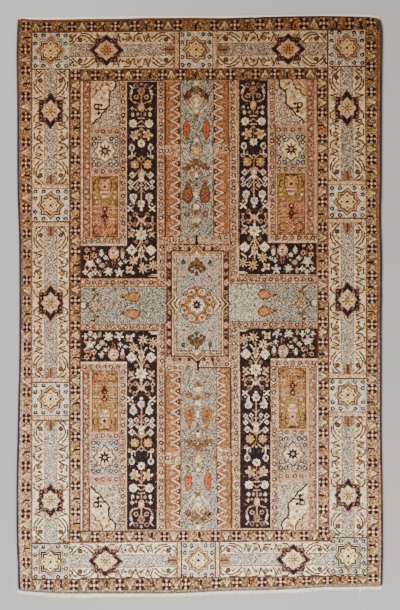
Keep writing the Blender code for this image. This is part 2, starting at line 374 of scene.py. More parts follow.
def paintCornerPiece(c):
    left, top, right, bottom = plots["corner"]
    c.fill(left, top, right, bottom, "stone")
    c.mottle(plots["corner"], 15, slate=0.24, rose=0.2, umber=0.14, cream=0.28)
    inner = [(103.2, top), (102.8, 84.5), (101, 86.5), (100.5, 89.8), (96, 90.6), (96, 93.2),
             (92.3, 97)]
    outer = [(115.3, top), (115.9, 86.4), (113.2, 90.2), (110.4, 92.2), (109.2, 95), (109.4, 105.4),
             (106, 109.4), (103, 112.6), (100, 117.2), (96.4, 119.4), (94.2, 122.2), (91.6, 124.6)]
    c.shape([(left, top), *outer, (left, 124.6)], "sand")
    for x, y in ((99, 84), (112, 84), (105, 88), (107, 96), (98, 97), (104, 105), (94, 101), (98, 116),
                 (93, 118), (103, 82)):
        c.disc(x, y, 2.2, "cream")
    for x, y, r in ((107, 84, 1.9), (110, 86.5, 1.6), (104, 93, 1.6), (102, 98, 1.8), (98.5, 94.5, 1.4),
                    (105.5, 99.5, 1.3), (95.5, 114, 1.6), (93.4, 110.8, 1.2), (96.6, 99.8, 1.2),
                    (103.4, 101.7, 1), (106.2, 89.5, 1.2)):
        c.diamond(x, y, r + 0.8, "sand")
        c.diamond(x, y, r, "tan" if r < 1.6 else "clay")
    c.line([(104.5, 82.2), (107.5, 85.6), (112.6, 82.4)], 1.1, "brown")
    c.shape([(left, top), *inner, (left, 97)], "tan")
    c.shape([(left, top), (100.4, top), (98, 86), (94, 88), (left, 92)], "rose")
    c.mottle((left, top, 100.5, 90), 17, straw=0.34, sand=0.2, mauve=0.12, umber=0.06)
    c.disc(94.8, 84.2, 1.6, "sand")
    c.line([(92.6, 88.4), (95.2, 87.4), (97.6, 83.4)], 1.1, "brown")
    c.line(inner, 1.25, "umber")
    c.line(outer, 1.5, "ink")
    c.rules([(110.4, 92.2, 108.7, 89.8, 1.3, "ink"), (96, 109.4, 106.4, 109.6, 1.5, "ink"),
             (98.7, 104, 98.7, 112, 1.2, "ink"), (99.5, 105, 101.4, 105.2, 1, "ink")])
    c.draw([(101.4, 105.2, 1.5, "ink"), ("diamond", 98.6, 113.2, 2.3, "ink"),
            ("ring", 96.4, 106.4, 3, "ink", "sand", 0.54)])


def paintStarSquare(c):
    ground, x, y = "mist" if c.atFoot else "pearl", 105, 151
    c.fill(*plots["above the star"], "rose")
    c.speckle(*plots["above the star"], "tan", 0.3, 21)
    c.speckle(*plots["above the star"], "mauve", 0.2, 22)
    ringRow(c, [103.4, 110.3, 116.6, 97.2], 131.4, False)
    c.fill(*plots["star"], "mist")
    c.mottle(plots["star"], 23, ivory=0.2, pearl=0.18, tan=0.12, moss=0.22, umber=0.06)
    if c.atFoot and c.onRight:
        c.mottle(plots["star"], 27, stone=0.3, moss=0.1, clay=0.2)
    for inset, yarn in ((0, "mauve"), (1.6, "stone")):
        c.frame(91.6 + inset, 135.2 + inset, 119 - inset, 167 - inset, 0.8, yarn)
    c.star(x, y, 12.3, 8.4, "umber", 1, 1.06)
    c.star(x, y, 11.3, 7.7, "clay" if c.atFoot else "gold", 1, 1.06)
    c.star(x, y, 9.9, 6.6, "pink" if c.atFoot else "cream", 1, 1.1)
    heart = dict(cream=0.2) if c.atFoot else dict(straw=0.5, ivory=0.1)
    c.mottle((x - 6, y - 6, x + 6, y + 6), 24, **heart)
    for spotX, spotY in ((105, 144.6), (99.6, 151.2), (110.6, 151.2), (105, 157.2), (101, 156.4),
                         (109, 156.4), (101, 146), (109, 146)):
        c.disc(spotX, spotY, 0.95, "clay")
    c.petals(x, 150.9, 5.9, "night" if c.atFoot else "maroon", 8, 0.22)
    c.disc(x, 150.9, 1.6, "rose")
    for columns, rows, size in (((94, 98.8, 111.4, 116.4), (138.6, 164.4), 2.3),
                                ((94, 116.4), (143.6, 159), 2.1)):
        c.draw([("ring", spotX, spotY, size, "umber", ground, 0.42) for spotX in columns for spotY in rows])
    c.fill(*plots["below the star"], "rose")
    c.speckle(*plots["below the star"], "mauve", 0.3, 25)
    c.speckle(*plots["below the star"], "pink", 0.2, 26)
    ringRow(c, [103.4, 110.3, 116.4, 96.8], 171.4, False)
    c.line([(91.6, 175.2), (119.2, 175.2)], 0.9, "tan")


def paintGardenPlot(c):
    ochreBed, rustBed, axis = plots["ochre bed"], plots["rust bed"], 105
    left, top, right, bottom = rustBed
    c.fill(*ochreBed, "ochre")
    c.speckle(*ochreBed, "gold", 0.38, 31)
    c.speckle(*ochreBed, "umber", 0.12, 32)
    c.speckle(*ochreBed, "brown" if c.atFoot else "olive", 0.16, 38)
    c.speckle(*plots["its foot"], "olive", 0.25, 33)
    c.fill(*rustBed, "rust")
    c.speckle(left, top - 2, right, bottom, "gold" if c.atFoot else "ember", 0.24, 34)
    light = ("ochre", 0.26, 40) if c.atFoot else ("salmon", 0.18, 40)
    for yarn, share, seed in (("orange", 0.18, 35), light, ("brown", 0.2, 36), ("maroon", 0.06, 39)):
        c.speckle(*rustBed, yarn, share, seed)
    c.speckle(108, 210, right, bottom, "gold", 0.3, 37)
    c.fill(right, 176, 119.6, bottom, "tan")
    for inset, yarn in ((0.2, "umber"), (2, "brown")):
        c.frame(92.6 + inset, 177 + inset, 118 - inset, 236.6 - inset, 0.8, yarn)
    c.scatter(axis, [
        (0, 186.6, 3.7, "salmon", 1.05), (0, 192.4, 4.9, "salmon", 0.8),
        ("box", 0, 196.6, 2.9, "pink", 0.4), ("box", 0, 190.4, 4, "rust", 0.14),
        ("box", 0, 192.2, 4.4, "pink", 0.16), ("box", 0, 194, 3.8, "brown", 0.14),
        ("diamond", 0, 186.8, 2, "maroon"), (9.6, 186.4, 2.7, "umber", 1.5),
        (8.7, 186.8, 2, "ochre", 1.7), (9.9, 197.4, 1.3, "sand"),
        (7.6, 201.8, 1.2, "sand"), (10.2, 192.4, 1.2, "tan"),
        ("ring", 0, 208.8, 2.6, "maroon", "salmon", 0.42), ("ring", 0, 216.9, 2.9, "maroon", "salmon", 0.4),
        ("diamond", 0, 212.2, 1.9, "maroon"), ("diamond", 0, 221.2, 1.7, "maroon"),
        ("flower", 0, 230.4, 2.6, "salmon", "maroon", 4, 0.2, 0.4),
        ("flower", 0, 234.6, 2.6, "salmon", "umber", 4, 0.3, 0.3),
    ])
    c.stems(axis, [
        (1.1, "salmon", [(4.2, 178.6), (2.4, 180.8), (1.6, 183.6)]),
        (1, "umber", [(6, 180), (7, 186), (5.4, 192)]),
        (1.1, "umber", [(0, 177.8), (5.4, 178.2)]),
        (1.1, "olive", [(8, 199), (5.4, 204), (2, 206)]),
        (1, "clay", [(2, 199), (1, 203)]), (1, "salmon", [(3.4, 206), (10.4, 206.6)]),
        (1.2, "maroon", [(0, 216.9), (4, 216.9)]), (0.9, "rose", [(6, 208.4), (11.6, 208.4)]),
        (0.9, "slate", [(6, 209.8), (11.6, 209.8)]), (0.9, "rose", [(6, 211.2), (11.6, 211.2)]),
        (0.9, "rose", [(8.8, 206.8), (8.8, 212.6)]), (0.9, "rose", [(5.2, 219.4), (11, 219.4)]),
        (0.9, "slate", [(5.2, 220.8), (11, 220.8)]), (0.9, "rose", [(5.2, 222.2), (11, 222.2)]),
        (0.9, "rose", [(8, 217.6), (8, 224)]),
        (1.2, "umber", [(12, 229.4), (10.6, 233.6), (6.6, 234)]),
        (1, "umber", [(3.6, 227.6), (8.6, 225.6), (10.4, 227.6)]),
        (1, "brown", [(0, 223), (0, 229)]),
    ])


def paintFlowerPanel(c):
    tall, wide, end = (plots[name] for name in ("tall panel", "wide panel", "wide panel's end"))
    c.fill(*tall, "ink")
    c.fill(*wide, "ink")
    for area, seed in (((*tall[:3], wide[1]), 41), (wide, 42)):
        c.speckle(*area, "night", 0.4, seed)
        c.speckle(*area, "maroon", 0.16, seed + 5)
    axis = 141.2
    c.scatter(axis, [
        (0, 84.2, 1.5, "rose"), ("ring", 5.4, 86.1, 2.5, "mauve", "ink", 0.5),
        (3, 90.8, 1.1, "mauve"), ("box", 0, 91.2, 3.1, "mauve", 1.35),
        ("box", 0, 91.4, 1.3, "clay", 1.6), (0, 91, 0.9, "maroon"),
        ("ring", 5.1, 97, 2.5, "rose", "ink", 0.5), (0, 107, 3.3, "salmon", 1.5),
        (0, 106.4, 1.3, "pink", 1.7), ("petals", 9, 108.6, 2.3, "pearl", 4, 0.3),
        (5, 109.6, 1.1, "rose"), (8.6, 114.4, 1.7, "pearl", 1.35),
        (3.6, 114.2, 1.5, "rose", 1.35), ("flower", 7.9, 123.4, 4.5, "cream", "tan", 8, 0.07, 0.3),
        (2.4, 137.6, 2.5, "maroon", 1.3), ("petals", 5.9, 134.6, 5.6, "sand", 5, 0.24, 0.3),
        ("petals", 5.6, 134.6, 3.5, "gold", 5, 0.2, 0.3), (10.4, 135.6, 1.4, "sand"),
        (7.4, 139.2, 1.5, "sand"), ("flower", 0, 143.4, 4.3, "cream", "ochre", 8, 0.12, 0.36),
        (0, 152.2, 4.6, "night", 0.95), (9.4, 147.4, 3, "pearl", 1.25),
        (9.4, 147.6, 1.5, "slate", 1.3), ("ring", 10.6, 157.2, 2.2, "rose", "ink", 0.4),
        ("flower", 6.4, 164.2, 4.9, "gold", "straw", 8, 0.12, 0.24), (0, 174.8, 3.1, "salmon", 1.5),
        (0, 174, 1.2, "ivory"), (0, 170.6, 1.3, "pink"), (0, 179.6, 2.7, "cream"),
        ("pip", 9, 175.2, 3.9, "pearl", "mauve"), ("pip", 10.8, 181.9, 3, "pearl", "stone"),
        ("pip", 10.6, 187.4, 2.9, "pearl", "umber"), ("pip", 5, 187.9, 2.9, "pearl", "umber"),
        (0, 188.8, 0.9, "rose"), ("flower", 7.8, 197, 4.2, "pearl", "stone", 7, 0.08, 0.3),
        ("flower", 0, 203.8, 4.4, "pearl", "stone", 8, 0.1, 0.34), (0, 209.4, 1.6, "ivory"),
        (10.8, 204.2, 1.1, "pearl"), ("box", 0, 213.6, 3.2, "maroon", 0.5),
        ("ring", 6.2, 214.6, 2.6, "mauve", "umber", 0.45), ("ring", 5.9, 224.6, 2.7, "mauve", "umber", 0.4),
        ("diamond", 0, 220.4, 4.2, "salmon", 0.8), ("diamond", 0, 225, 1.7, "tan"),
        (11, 217.4, 1.5, "rose"), ("pip", 11.3, 223.6, 3, "rose", "ink"),
        (11.8, 227.6, 1, "rose"), ("petals", 10.2, 234.6, 4.2, "rose", 4, 0.3, 0.78),
        (10.2, 234.6, 1.2, "pearl"), ("petals", 0, 234.8, 6.9, "cream", 8, 0.16),
        ("petals", 0, 234.8, 3.4, "straw", 6, 0.2), (0, 234.8, 1.2, "ochre"),
        (0, 228.2, 1.5, "ivory"), (0, 241, 1.5, "tan"),
        (5.2, 242, 2.1, "mauve"), ("diamond", 9.6, 250.2, 5.8, "cream"),
        (9.6, 250.2, 4.4, "cream"), (9.6, 250.2, 0.9, "umber"),
    ], scale=0.95)
    c.stems(axis, [
        (1.3, "pearl", [(8.4, 88.6), (11, 85.8)]), (2.5, "pearl", [(9.6, 90.8), (10.4, 94)]),
        (1.5, "rose", [(10.6, 94.6), (10.4, 98.6), (8.6, 101.6), (5.8, 102.6)]),
        (1.2, "rose", [(0, 95), (0, 103)]), (1, "rose", [(3.4, 103.4), (4.4, 102.6)]),
        (1.3, "rose", [(0, 118.2), (3.2, 118.2)]), (1.1, "rose", [(0, 120.8), (3.6, 123.6)]),
        (1.5, "salmon", [(0, 126.4), (2.8, 126.4)]), (1.1, "rose", [(0, 128.2), (3, 131.2)]),
        (1, "clay", [(0, 129), (0, 139)]), (1, "mauve", [(0, 110.8), (0, 117.6)]),
        (1.2, "pearl", [(9.3, 150), (9.3, 156.4)]), (1.1, "pearl", [(6.2, 156.2), (12, 156.2)]),
        (1.1, "rose", [(6.2, 153), (6.4, 156.2)]), (1.3, "rose", [(0, 161.6), (4.4, 157.2)]),
        (1.1, "tan", [(0, 156.6), (2.4, 158.8)]), (1, "clay", [(0, 161), (0, 171)]),
        (1.9, "rose", [(0, 169.4), (6.4, 174.6)]), (1.2, "pearl", [(2.8, 179.4), (8.8, 185.4)]),
        (1.1, "rose", [(3, 181.4), (5, 186)]), (1.1, "rose", [(0, 185.4), (2.4, 185.4)]),
        (1.3, "mauve", [(0, 189.6), (3, 192.6)]), (1.2, "rose", [(0, 182), (0, 199.6)]),
        (1.4, "pearl", [(9.9, 199.4), (7.4, 204.4)]), (2, "pearl", [(8, 199.6), (7.4, 203.4)]),
        (1.5, "cream", [(8.3, 206.4), (13.2, 211)]), (1.5, "cream", [(13.2, 206.4), (8.3, 211)]),
        (1.5, "pink", [(4.4, 216.4), (1.4, 219.8)]), (1.5, "pink", [(1.4, 221.2), (4.4, 224.4)]),
        (1.2, "rose", [(11, 217.4), (11, 222)]), (1.4, "pearl", [(6.6, 231), (9.8, 229.2)]),
        (1, "rose", [(11.8, 228), (10, 230.6)]), (1.3, "tan", [(0.6, 242), (5.2, 249.4)]),
        (1.2, "cream", [(0.8, 247), (2.6, 256.6), (5.4, 260.2)]),
        (1, "tan", [(0, 242), (0, 263.4)]), (1.1, "sand", [(2.6, 250), (0.8, 257)]),
    ])
    for x, y, r in ((133.3, 260.4, 5.3), (143.1, 268.3, 5.7), (152.8, 265.4, 5.3)):
        c.petals(x, y, r, "sand", 8, 0.34)
        c.disc(x, y, 1.5, "gold")
        c.disc(x, y, 0.8, "olive")
    c.draw([("flower", 129.4, 269.8, 4.5, "sand", "brown", 4, 0.24, 0.3, 0.78),
            (133.2, 273, 1.6, "pearl")])
    c.rules([(149.8, 259.8, 153.8, 256.6, 1.5, "pearl"), (149, 276.2, 156.4, 276.2, 1.3, "sand"),
             (151.5, 274.8, 156.4, 274.8, 1.1, "cream")])
    for x, y, r in ((87, 250.3, 3), (86.5, 257.4, 3), (94.3, 255.6, 3.2)):
        c.flower(x, y, r, "salmon", "maroon", 6, 0.2, 0.34)
    c.rules([(90.8, 251, 90.8, 261.6, 1.1, "rust")])
    c.draw([("diamond", 93.8, 248.6, 2, "rose"), ("petals", 90.4, 264.2, 5, "pearl", 5, 0.22, math.pi),
            (90.4, 263, 2, "ivory")])
    c.stems(90.5, [(1.3, "rose", [(3.6, 263.4), (5.6, 267)]), (1.2, "rose", [(0, 267), (1.4, 270)])])
    c.draw([
        ("petals", 85.6, 271.8, 3.1, "pearl", 4, 0.25), ("petals", 95.4, 271.9, 3.4, "pearl", 4, 0.25),
        ("diamond", 90.5, 275, 3, "pearl"), (101.7, 252.8, 1.9, "pearl", 1.9),
        ("petals", 101.7, 253.8, 2.9, "pearl", 4, 0.4), ("petals", 105.8, 257.8, 2.6, "pearl", 5, 0.2),
        ("diamond", 98.4, 261, 2.9, "pearl"), (102.2, 265.2, 2.7, "rose"),
        (102.2, 265.2, 1.1, "pearl"), (100.2, 273.6, 1.5, "rose", 2.1),
        (106.4, 263.2, 1.2, "rose"), ("box", 113.7, 247.9, 2.7, "clay", 0.4),
        (113.7, 253.4, 5.3, "salmon", 1.12), (113.7, 253.2, 3.9, "pink", 1.1),
        (113.7, 253.2, 2.6, "cream"), (122.6, 252.4, 2.4, "mauve", 1.7),
        (122.6, 255.4, 1.7, "pearl", 2), ("petals", 120.7, 263.3, 2.8, "pearl", 4, 0.3),
        ("petals", 125.4, 261.3, 2.5, "pearl", 4, 0.2), ("petals", 108.4, 271.6, 4.8, "pearl", 7, 0.22),
        (108.4, 271.4, 1.7, "ivory"), ("petals", 119.5, 272.4, 5.1, "pearl", 5, 0.3),
        (119, 272, 1.3, "pearl"),
    ])
    c.stems(113.8, [
        (1, "clay", [(1.6, 259), (1, 266.2)]), (1.1, "umber", [(0, 252.4), (1.3, 252.4)]),
        (1, "umber", [(0, 254.8), (1.2, 254.8)]), (1, "rose", [(5.4, 258.4), (4.6, 261)]),
        (0.9, "maroon", [(0, 260.4), (0, 267)]),
    ])
    c.mottle(tall, 45, ink=0.09, mauve=0.015, umber=0.02)
    c.mottle(end, 46, ink=0.12, mauve=0.015, umber=0.02)
    if c.atFoot and c.onRight:
        c.speckle(*end, "ink", 0.14, 48)
    left, top, right, bottom = end
    c.fill(left, top, right, top + 0.9, "maroon")
    c.fill(left, top, left + 1.2, bottom, "maroon")


teeth = (  # top and bottom of each stretch, its first tooth, the pitch and how many
    (81, 146, 87.6, 10.9, 6), (154.8, 237.2, 163.6, 10.7, 7),
)


def paintTeeth(c):
    # The rust strip between panel and water, with its zigzag of pink
    left, right = 165, 179.6
    for top, bottom, first, pitch, count in teeth:
        area = (left, top, right, bottom)
        c.fill(*area, "rust")
        c.mottle(area, int(top), brown=0.26, clay=0.24, umber=0.12, gold=0.08)
        c.mottle((left, top, 172, bottom), int(top) + 3, olive=0.14, gold=0.12)
        c.fill(left, top, left + 0.9, bottom, "umber")
        for k in range(-1, count + 1):
            y = first + pitch * k
            if not top - 4 < y < bottom + 4:
                continue
            tooth = [(179.8, y - 5.2), (176.2, y - 2.6), (170.4, y), (176.2, y + 2.6), (179.8, y + 5.2)]
            tooth = [(a, min(max(b, top), bottom)) for a, b in tooth]
            c.shape(tooth, "clay")
            c.disc(178.4, y, 2.4, "umber", 1.15)
            c.line([(a - 1.5, b) for a, b in tooth[1:4]], 0.9, "maroon")
            c.line(tooth, 1.35, "pink")
            hook = [(173.2, y - 4.6), (169, y - 5.4), (173.2, y - 6.2)]
            c.line(hook, 0.9, "salmon" if k % 2 else "orange")
            if top < y < bottom:
                c.ring(177.2, y, 1.9, "maroon", "pink", 0.42)
        c.fill(left, top, 179, top + 0.9, "rose")
        c.fill(left, bottom - 0.9, 179, bottom, "rose")
    c.fill(left, 146, right, 154.8, "rose")
    c.fill(left, 237.2, 197.4, 246.4, "rose")
    for seed, area in ((55, (left, 146, 179, 154.8)), (56, (left, 237.2, 197, 246))):
        c.mottle(area, seed, tan=0.32, mauve=0.15, brown=0.15, cream=0.12)
    ringRow(c, [166.8, 172.8], 150.6, False)
    ringRow(c, [168.4, 174.6, 180.6, 187.4], 240.4, False)
    c.line([(165.4, 236.8), (197.4, 236.8)], 0.9, "umber")


for quarter in quarters:
    chart.inQuarter(quarter)
    for paint in (paintStripes, paintLeafyStrip, paintCornerPiece, paintStarSquare, paintGardenPlot,
                  paintFlowerPanel, paintTeeth):
        paint(chart)
chart.straight()
print("field charted")

# The water channels and the star block where they cross

lakes = (  # each channel's left, top, right and bottom, and where its ripples start
    ((81, 287.2, 166, 323.4), [(83, 305.4), (107, 305.4), (134, 290), (134, 321), (158, 305.4)]),
    ((228.6, 284.6, 316.6, 321), [(238, 303), (262, 288), (262, 318), (290, 303), (316, 303)]),
    ((179.8, 80.2, 213.8, 236.8),
     [(196.2, y) for y in (83, 102, 126, 150, 175, 207, 222)] + [(180, 186), (213, 186)]),
    ((180.4, 369, 217.2, 530),
     [(198.2, y) for y in (386, 402, 434, 459, 484, 508, 527)] + [(181, 423), (217, 423)]),
)
canal = dict(axis=196.2, lean=2.6, top=80.2, bottom=530, lowerStretch=1.005, cypress=8.6)
lakeEnds = ((1, 81.2, 305.4), (-1, 316.4, 302.8))  # which way it runs in, its end, its middle
clearWater = (((228.6, 284.6, 262, 321), 68, dict(mist=0.2, cream=0.14, ivory=0.1)),
              ((179.8, 144, 213.8, 172), 69, dict(mist=0.14, cream=0.12)))


def paintWater(c):
    for k, (area, hearts) in enumerate(lakes):
        left, _, right, bottom = area
        c.ripple(*area, hearts)
        c.mottle(area, 61 + k, rose=0.02, umber=0.07, sand=0.05, straw=0.04, stone=0.08, moss=0.06)
        if bottom == canal["bottom"]:
            c.mottle(area, 66, rose=0.12, tan=0.1, umber=0.04)
            c.mottle((left, 428, right, 462), 67, stone=0.34, mauve=0.06, slate=0.22)
    for area, seed, shares in clearWater:
        c.mottle(area, seed, **shares)
    c.rules([(180.2, 81, 180.4, 236, 0.9, "brown"), (213.4, 81, 213.8, 236, 0.9, "brown"),
             (180.6, 372, 181, 529, 0.9, "brown"), (216.2, 372, 217, 529, 0.9, "brown")])


def paintCanals(c):
    for upward, top, stretch, dark, mid in ((1, canal["top"], 1, "maroon", "brown"),
                                            (-1, canal["bottom"], canal["lowerStretch"], "brown", "ochre")):
        def down(y):
            return top + upward * (y - canal["top"]) * stretch

        def across(width, first, last):
            return (axis - width, min(down(first), down(last)), axis + width, max(down(first), down(last)))
        axis = canal["axis"] + (top + upward * 75 - field["top"]) * canal["lean"] / field["tall"] - 0.3
        c.scatter(axis, [
            (0, 83.4, 2.2, "cream"), (1.9, 81.4, 1, "straw"),
            (0, 86.2, 1.2, "gold"), (4.2, 90.6, 3, "umber", 0.8),
            (0, 90.6, 3.4, "olive", 0.9), ("petals", 9.6, 96.6, 4.6, "umber", 5, 0.2),
            (6.4, 93.6, 2.2, "brown"), (10.6, 96, 1.5, "maroon"),
            (8.2, 98.6, 1, "olive"), (12, 93.8, 0.8, "tan"),
            (6, 101.6, 2, "olive", 1.1), (3.6, 95, 1.1, "ivory"),
            ("diamond", 0, 102.4, 6.2, "gold", 1.2), ("diamond", 0, 100.2, 3, "cream", 1),
            ("diamond", 0, 104.9, 2.9, "ivory", 0.9), ("diamond", 0, 111.2, 4, "gold", 0.9),
            ("diamond", 0, 111, 2.3, "cream"), (0, 115.6, 2.7, "brown", 0.7),
            (2.6, 113.6, 1.2, "clay"), ("almond", 9.8, 128.8, 3.9, "umber", 2.7),
            ("almond", 9.8, 128.8, 3.1, "rust", 3.2), ("almond", 9.8, 128.8, 2.2, "ember", 3.9),
            (9.8, 126, 0.8, "maroon"), (9.2, 129.2, 0.7, "rust"),
            (10.2, 132, 0.8, "maroon"), (9.6, 139.4, 1.4, "brown"),
            (0, 134.4, 1, "slate", 1.4), ("flower", 0, 140, 2.9, "tan", "cream", 6, 0.15, 0.62),
            (0, 151.2, 4.2, "ochre", 1.4), (0, 150.6, 3.4, "gold", 1.4),
            (0, 150.4, 2.4, "straw", 1.5), (0, 146.2, 1.1, "straw"),
            (0, 161.6, 2.6, "brown", 1.3), ("petals", 4.6, 165.4, 4, "brown", 5, 0.3),
            ("petals", 0, 167, 3.8, "umber", 6, 0.3), (0, 166.8, 1.3, "tan"),
            (10.2, 167, 3.7, "brown"), (3.4, 162.4, 1.2, "olive"),
            (6.6, 168.4, 1.3, "umber"), (10.2, 167, 1.8, "slate"),
            (11.6, 165.6, 1, "sand"), (5, 172.4, 1.8, "clay"),
            (0, 175, 1.6, "cream", 1.6), (0, 178.6, 1.4, "umber"),
            (8.6, 181.4, 2, "clay", 1.3), ("drop", 8.6, 192.6, 6.9, dark, 1.55, upward),
            ("drop", 8.6, 192.8, 5.9, mid, 1.62, upward), ("drop", 8.6, 192.8, 4.2, "rust", 1.75, upward),
            (8.6, 197.6, 1, "maroon"), (8.6, 193.4, 0.9, "maroon"),
            (6.6, 195.4, 0.8, "maroon"), (10.6, 195.4, 0.8, "maroon"),
            (8.6, 189.2, 0.8, "umber"), (0, 184.6, 1.3, "slate", 1.5),
            (0, 195.6, 1.4, "ivory", 2.2), (0, 206.6, 3.4, "gold"),
            ("flower", 0, 206.6, 2.9, "cream", "tan", 6, 0.12, 0.3), (0, 212.4, 2.4, "brown", 0.9),
            (4.4, 210.4, 1.5, "olive"), (9.2, 214.2, 3.4, "brown", 0.9),
            (9.2, 213.6, 1.3, "stone"), (0, 216.2, 1.6, "gold"),
            (0, 220, 3.8, "gold"), ("flower", 0, 220, 3, "cream", "tan", 6, 0.12, 0.3),
            (3.8, 220, 1, "straw"), (0, 226, 1.9, "brown"),
            (2.8, 224.2, 1.1, "olive"), (0, 230.8, 1.2, "sand"),
        ], down)
        c.stems(axis, [
            (1.2, "umber", [(0.8, 86.6), (5, 90), (9, 91)]),
            (1.2, "brown", [(2.2, 93.4), (6.2, 97.6)]), (1.3, "olive", [(4.4, 103.8), (0.6, 108.6)]),
            (1.1, "sand", [(6.8, 98.6), (1.4, 108.2)]), (1.1, "pearl", [(10.2, 105.6), (3.6, 113.8)]),
            (1, "olive", [(9.8, 137.6), (8.2, 142.2)]), (1.1, "moss", [(8, 142.6), (11.6, 143.8)]),
            (1.2, "slate", [(2.6, 138), (5.8, 145.6), (6, 152.8)]),
            (1.1, "olive", [(0.6, 142.6), (0.4, 147)]), (1.1, "brown", [(2.2, 158.4), (8.2, 164.4)]),
            (1.1, "clay", [(1, 169.6), (4.4, 174.4)]), (1, "brown", [(0, 199.8), (0, 203.6)]),
            (1.1, "olive", [(0, 209.4), (4.8, 212.6)]), (1, "olive", [(0, 222.6), (3.4, 227.6)]),
        ], down)
        for hand in (-1, 1):
            spot = axis + hand * canal["cypress"]
            drop = (spot - 4, min(down(187), down(200)), spot + 4, max(down(187), down(200)))
            c.mottle(drop, 83, brown=0.2, umber=0.14 if upward > 0 else 0.06,
                     ochre=0.04 if upward > 0 else 0.16)
        if upward < 0:
            c.mottle(across(13, 88, 101), 84, brown=0.18, umber=0.12, tan=0.08)
            c.petals(axis, down(97.4), 5.4, "brown", 7, 0.34)
            c.disc(axis, down(98.4), 2, "tan")
            c.line([(axis, down(94)), (axis, down(86))], 1.4, "brown")
            c.ring(axis - 12, down(108), 1.4, "slate", "pearl")


def paintLakeEnds(c):
    for hand, end, middle in lakeEnds:
        def spots(way, *points):
            return [(end + hand * (x - 81.2), middle + way * y) for x, y in points]

        def discs(way, rows):
            for x, y, *rest in rows:
                c.disc(*spots(way, (x, y))[0], *rest)
        heart, = spots(1, (96.2, 0))
        c.box(*spots(1, (83.4, 0))[0], 1.9, "cream", 1.4)
        c.line(spots(1, (81.4, -3.4), (86.2, -3.4), (86.2, 3.4), (81.4, 3.4)), 1, "umber")
        for way in (-1, 1):
            c.line(spots(way, (86.8, 0.6), (91, 4.4), (95.4, 9.6)), 1.3, "umber")
            discs(way, (
                (94.6, 12.2, 2.6, "olive", 1.1), (93.6, 15.4, 1.9, "umber"), (93.2, 13.4, 1, "sand"),
                (97.8, 10.8, 1.3, "umber"), (98.6, 4.6, 1.9, "olive"), (134.2, 8.6, 5.7, "umber", 0.94),
            ))
            c.shape(spots(way, (119.8, 7.8), (131, 3.6), (131, 13)), "umber")
            discs(way, ((134, 8.6, 4.8, "brown", 0.94),))
            c.shape(spots(way, (123.4, 8.1), (131, 4.7), (131, 12.2)), "clay")
            discs(way, ((133.8, 8.6, 3.9, "orange", 0.9), (135.4, 8.4, 1.2, "ember")))
            (near, y), (far, y) = spots(way, (124, 8.6), (139, 8.6))
            c.mottle((near, y - 4, far, y + 4), 81, rust=0.1, gold=0.2)
        c.petals(*heart, 5, "brown", 4, 0.24)
        c.petals(*heart, 4.2, "gold", 4, 0.24)
        c.flower(*heart, 2.2, "umber", "salmon", 4, 0.2, 0.5)
        discs(1, [(96.2 + x, y, 1, "sand") for x, y in ((-2.8, 0), (2.8, 0), (0, -2.8), (0, 2.8))])
        c.flower(*spots(1, (104, 0))[0], 3, "brown", "tan", 5, 0.2, 0.45)
        c.line(spots(1, (87, 0), (91, 0)), 1.3, "umber")


block = dict(left=166.2, right=229, top=243.8, bottom=361.8, axis=197.2, middle=303.8)
paleLine = dict(left=172.2, right=223, top=251.4, bottom=355.4,  # the block's pale line, and its four tips
                leftTip=166.8, rightTip=229, topTip=243.6, bottomTip=362.2)


def paintBlockGround(c):
    left, right, top, bottom, axis, middle = block.values()
    c.fill(left, top, right, bottom, "mauve")
    for k, (yarn, share, size) in enumerate((("maroon", 0.32, 2), ("umber", 0.2, 2), ("rose", 0.26, 2),
                                             ("ink", 0.14, 1))):
        c.speckle(left, top, right, bottom, yarn, share, 70 + k, size)
    c.fill(left, top, left + 1.2, bottom, "umber")
    c.fill(right - 1.2, top, right, bottom, "umber")
    for way in (-1, 1):
        edge = middle + way * (bottom - top) / 2
        near = edge - way * 3.6
        c.mottle((left + 1.2, min(edge, edge - way * 7), right - 1.2, max(edge, edge - way * 7)), 79,
                 rose=0.44, tan=0.26, pink=0.06)
        for x in (left + 2.6, axis - 12.6, axis + 10.8, right - 3):
            c.flower(x, near, 3.3, "maroon", "salmon", 6, 0.12, 0.84)
            c.disc(x, near, 1.1, "rust")
        for x in (axis - 17, axis - 8.4, axis + 6.8, axis + 15.2):
            c.disc(x, near, 1.5, "maroon", 1.2)
        for x in (axis - 22.6, axis + 20.6):
            c.pip(x, near, 2.6, "umber", "rose")
        for x in (left + 3, right - 3.2):
            for off in (21, 38.6):
                c.pip(x, middle - way * off, 3.3, "salmon", "mauve", 0.4)
                for spot in (-5, 5):
                    c.disc(x, middle - way * (off + spot), 1.7, "maroon", 1.1)


def blockOutline(inset):
    # The line that makes a point in the middle of each side
    x0, x1, y0, y1, leftTip, rightTip, topTip, bottomTip = paleLine.values()
    x0, x1, y0, y1 = x0 + inset, x1 - inset, y0 + inset, y1 - inset
    slope, tip = 0.4 * inset, 1.35 * inset
    axis, middle = block["axis"], block["middle"]
    return [(x0, y0), (axis - 7 + slope, y0), (axis - 0.6, topTip + tip), (axis + 5.8 - slope, y0),
            (x1, y0), (x1, middle - 6 + slope), (rightTip - tip, middle), (x1, middle + 6 - slope),
            (x1, y1), (axis + 6.4 - slope, y1), (axis, bottomTip - tip), (axis - 6.4 + slope, y1),
            (x0, y1), (x0, middle + 6 - slope), (leftTip + tip, middle), (x0, middle - 6 + slope)]


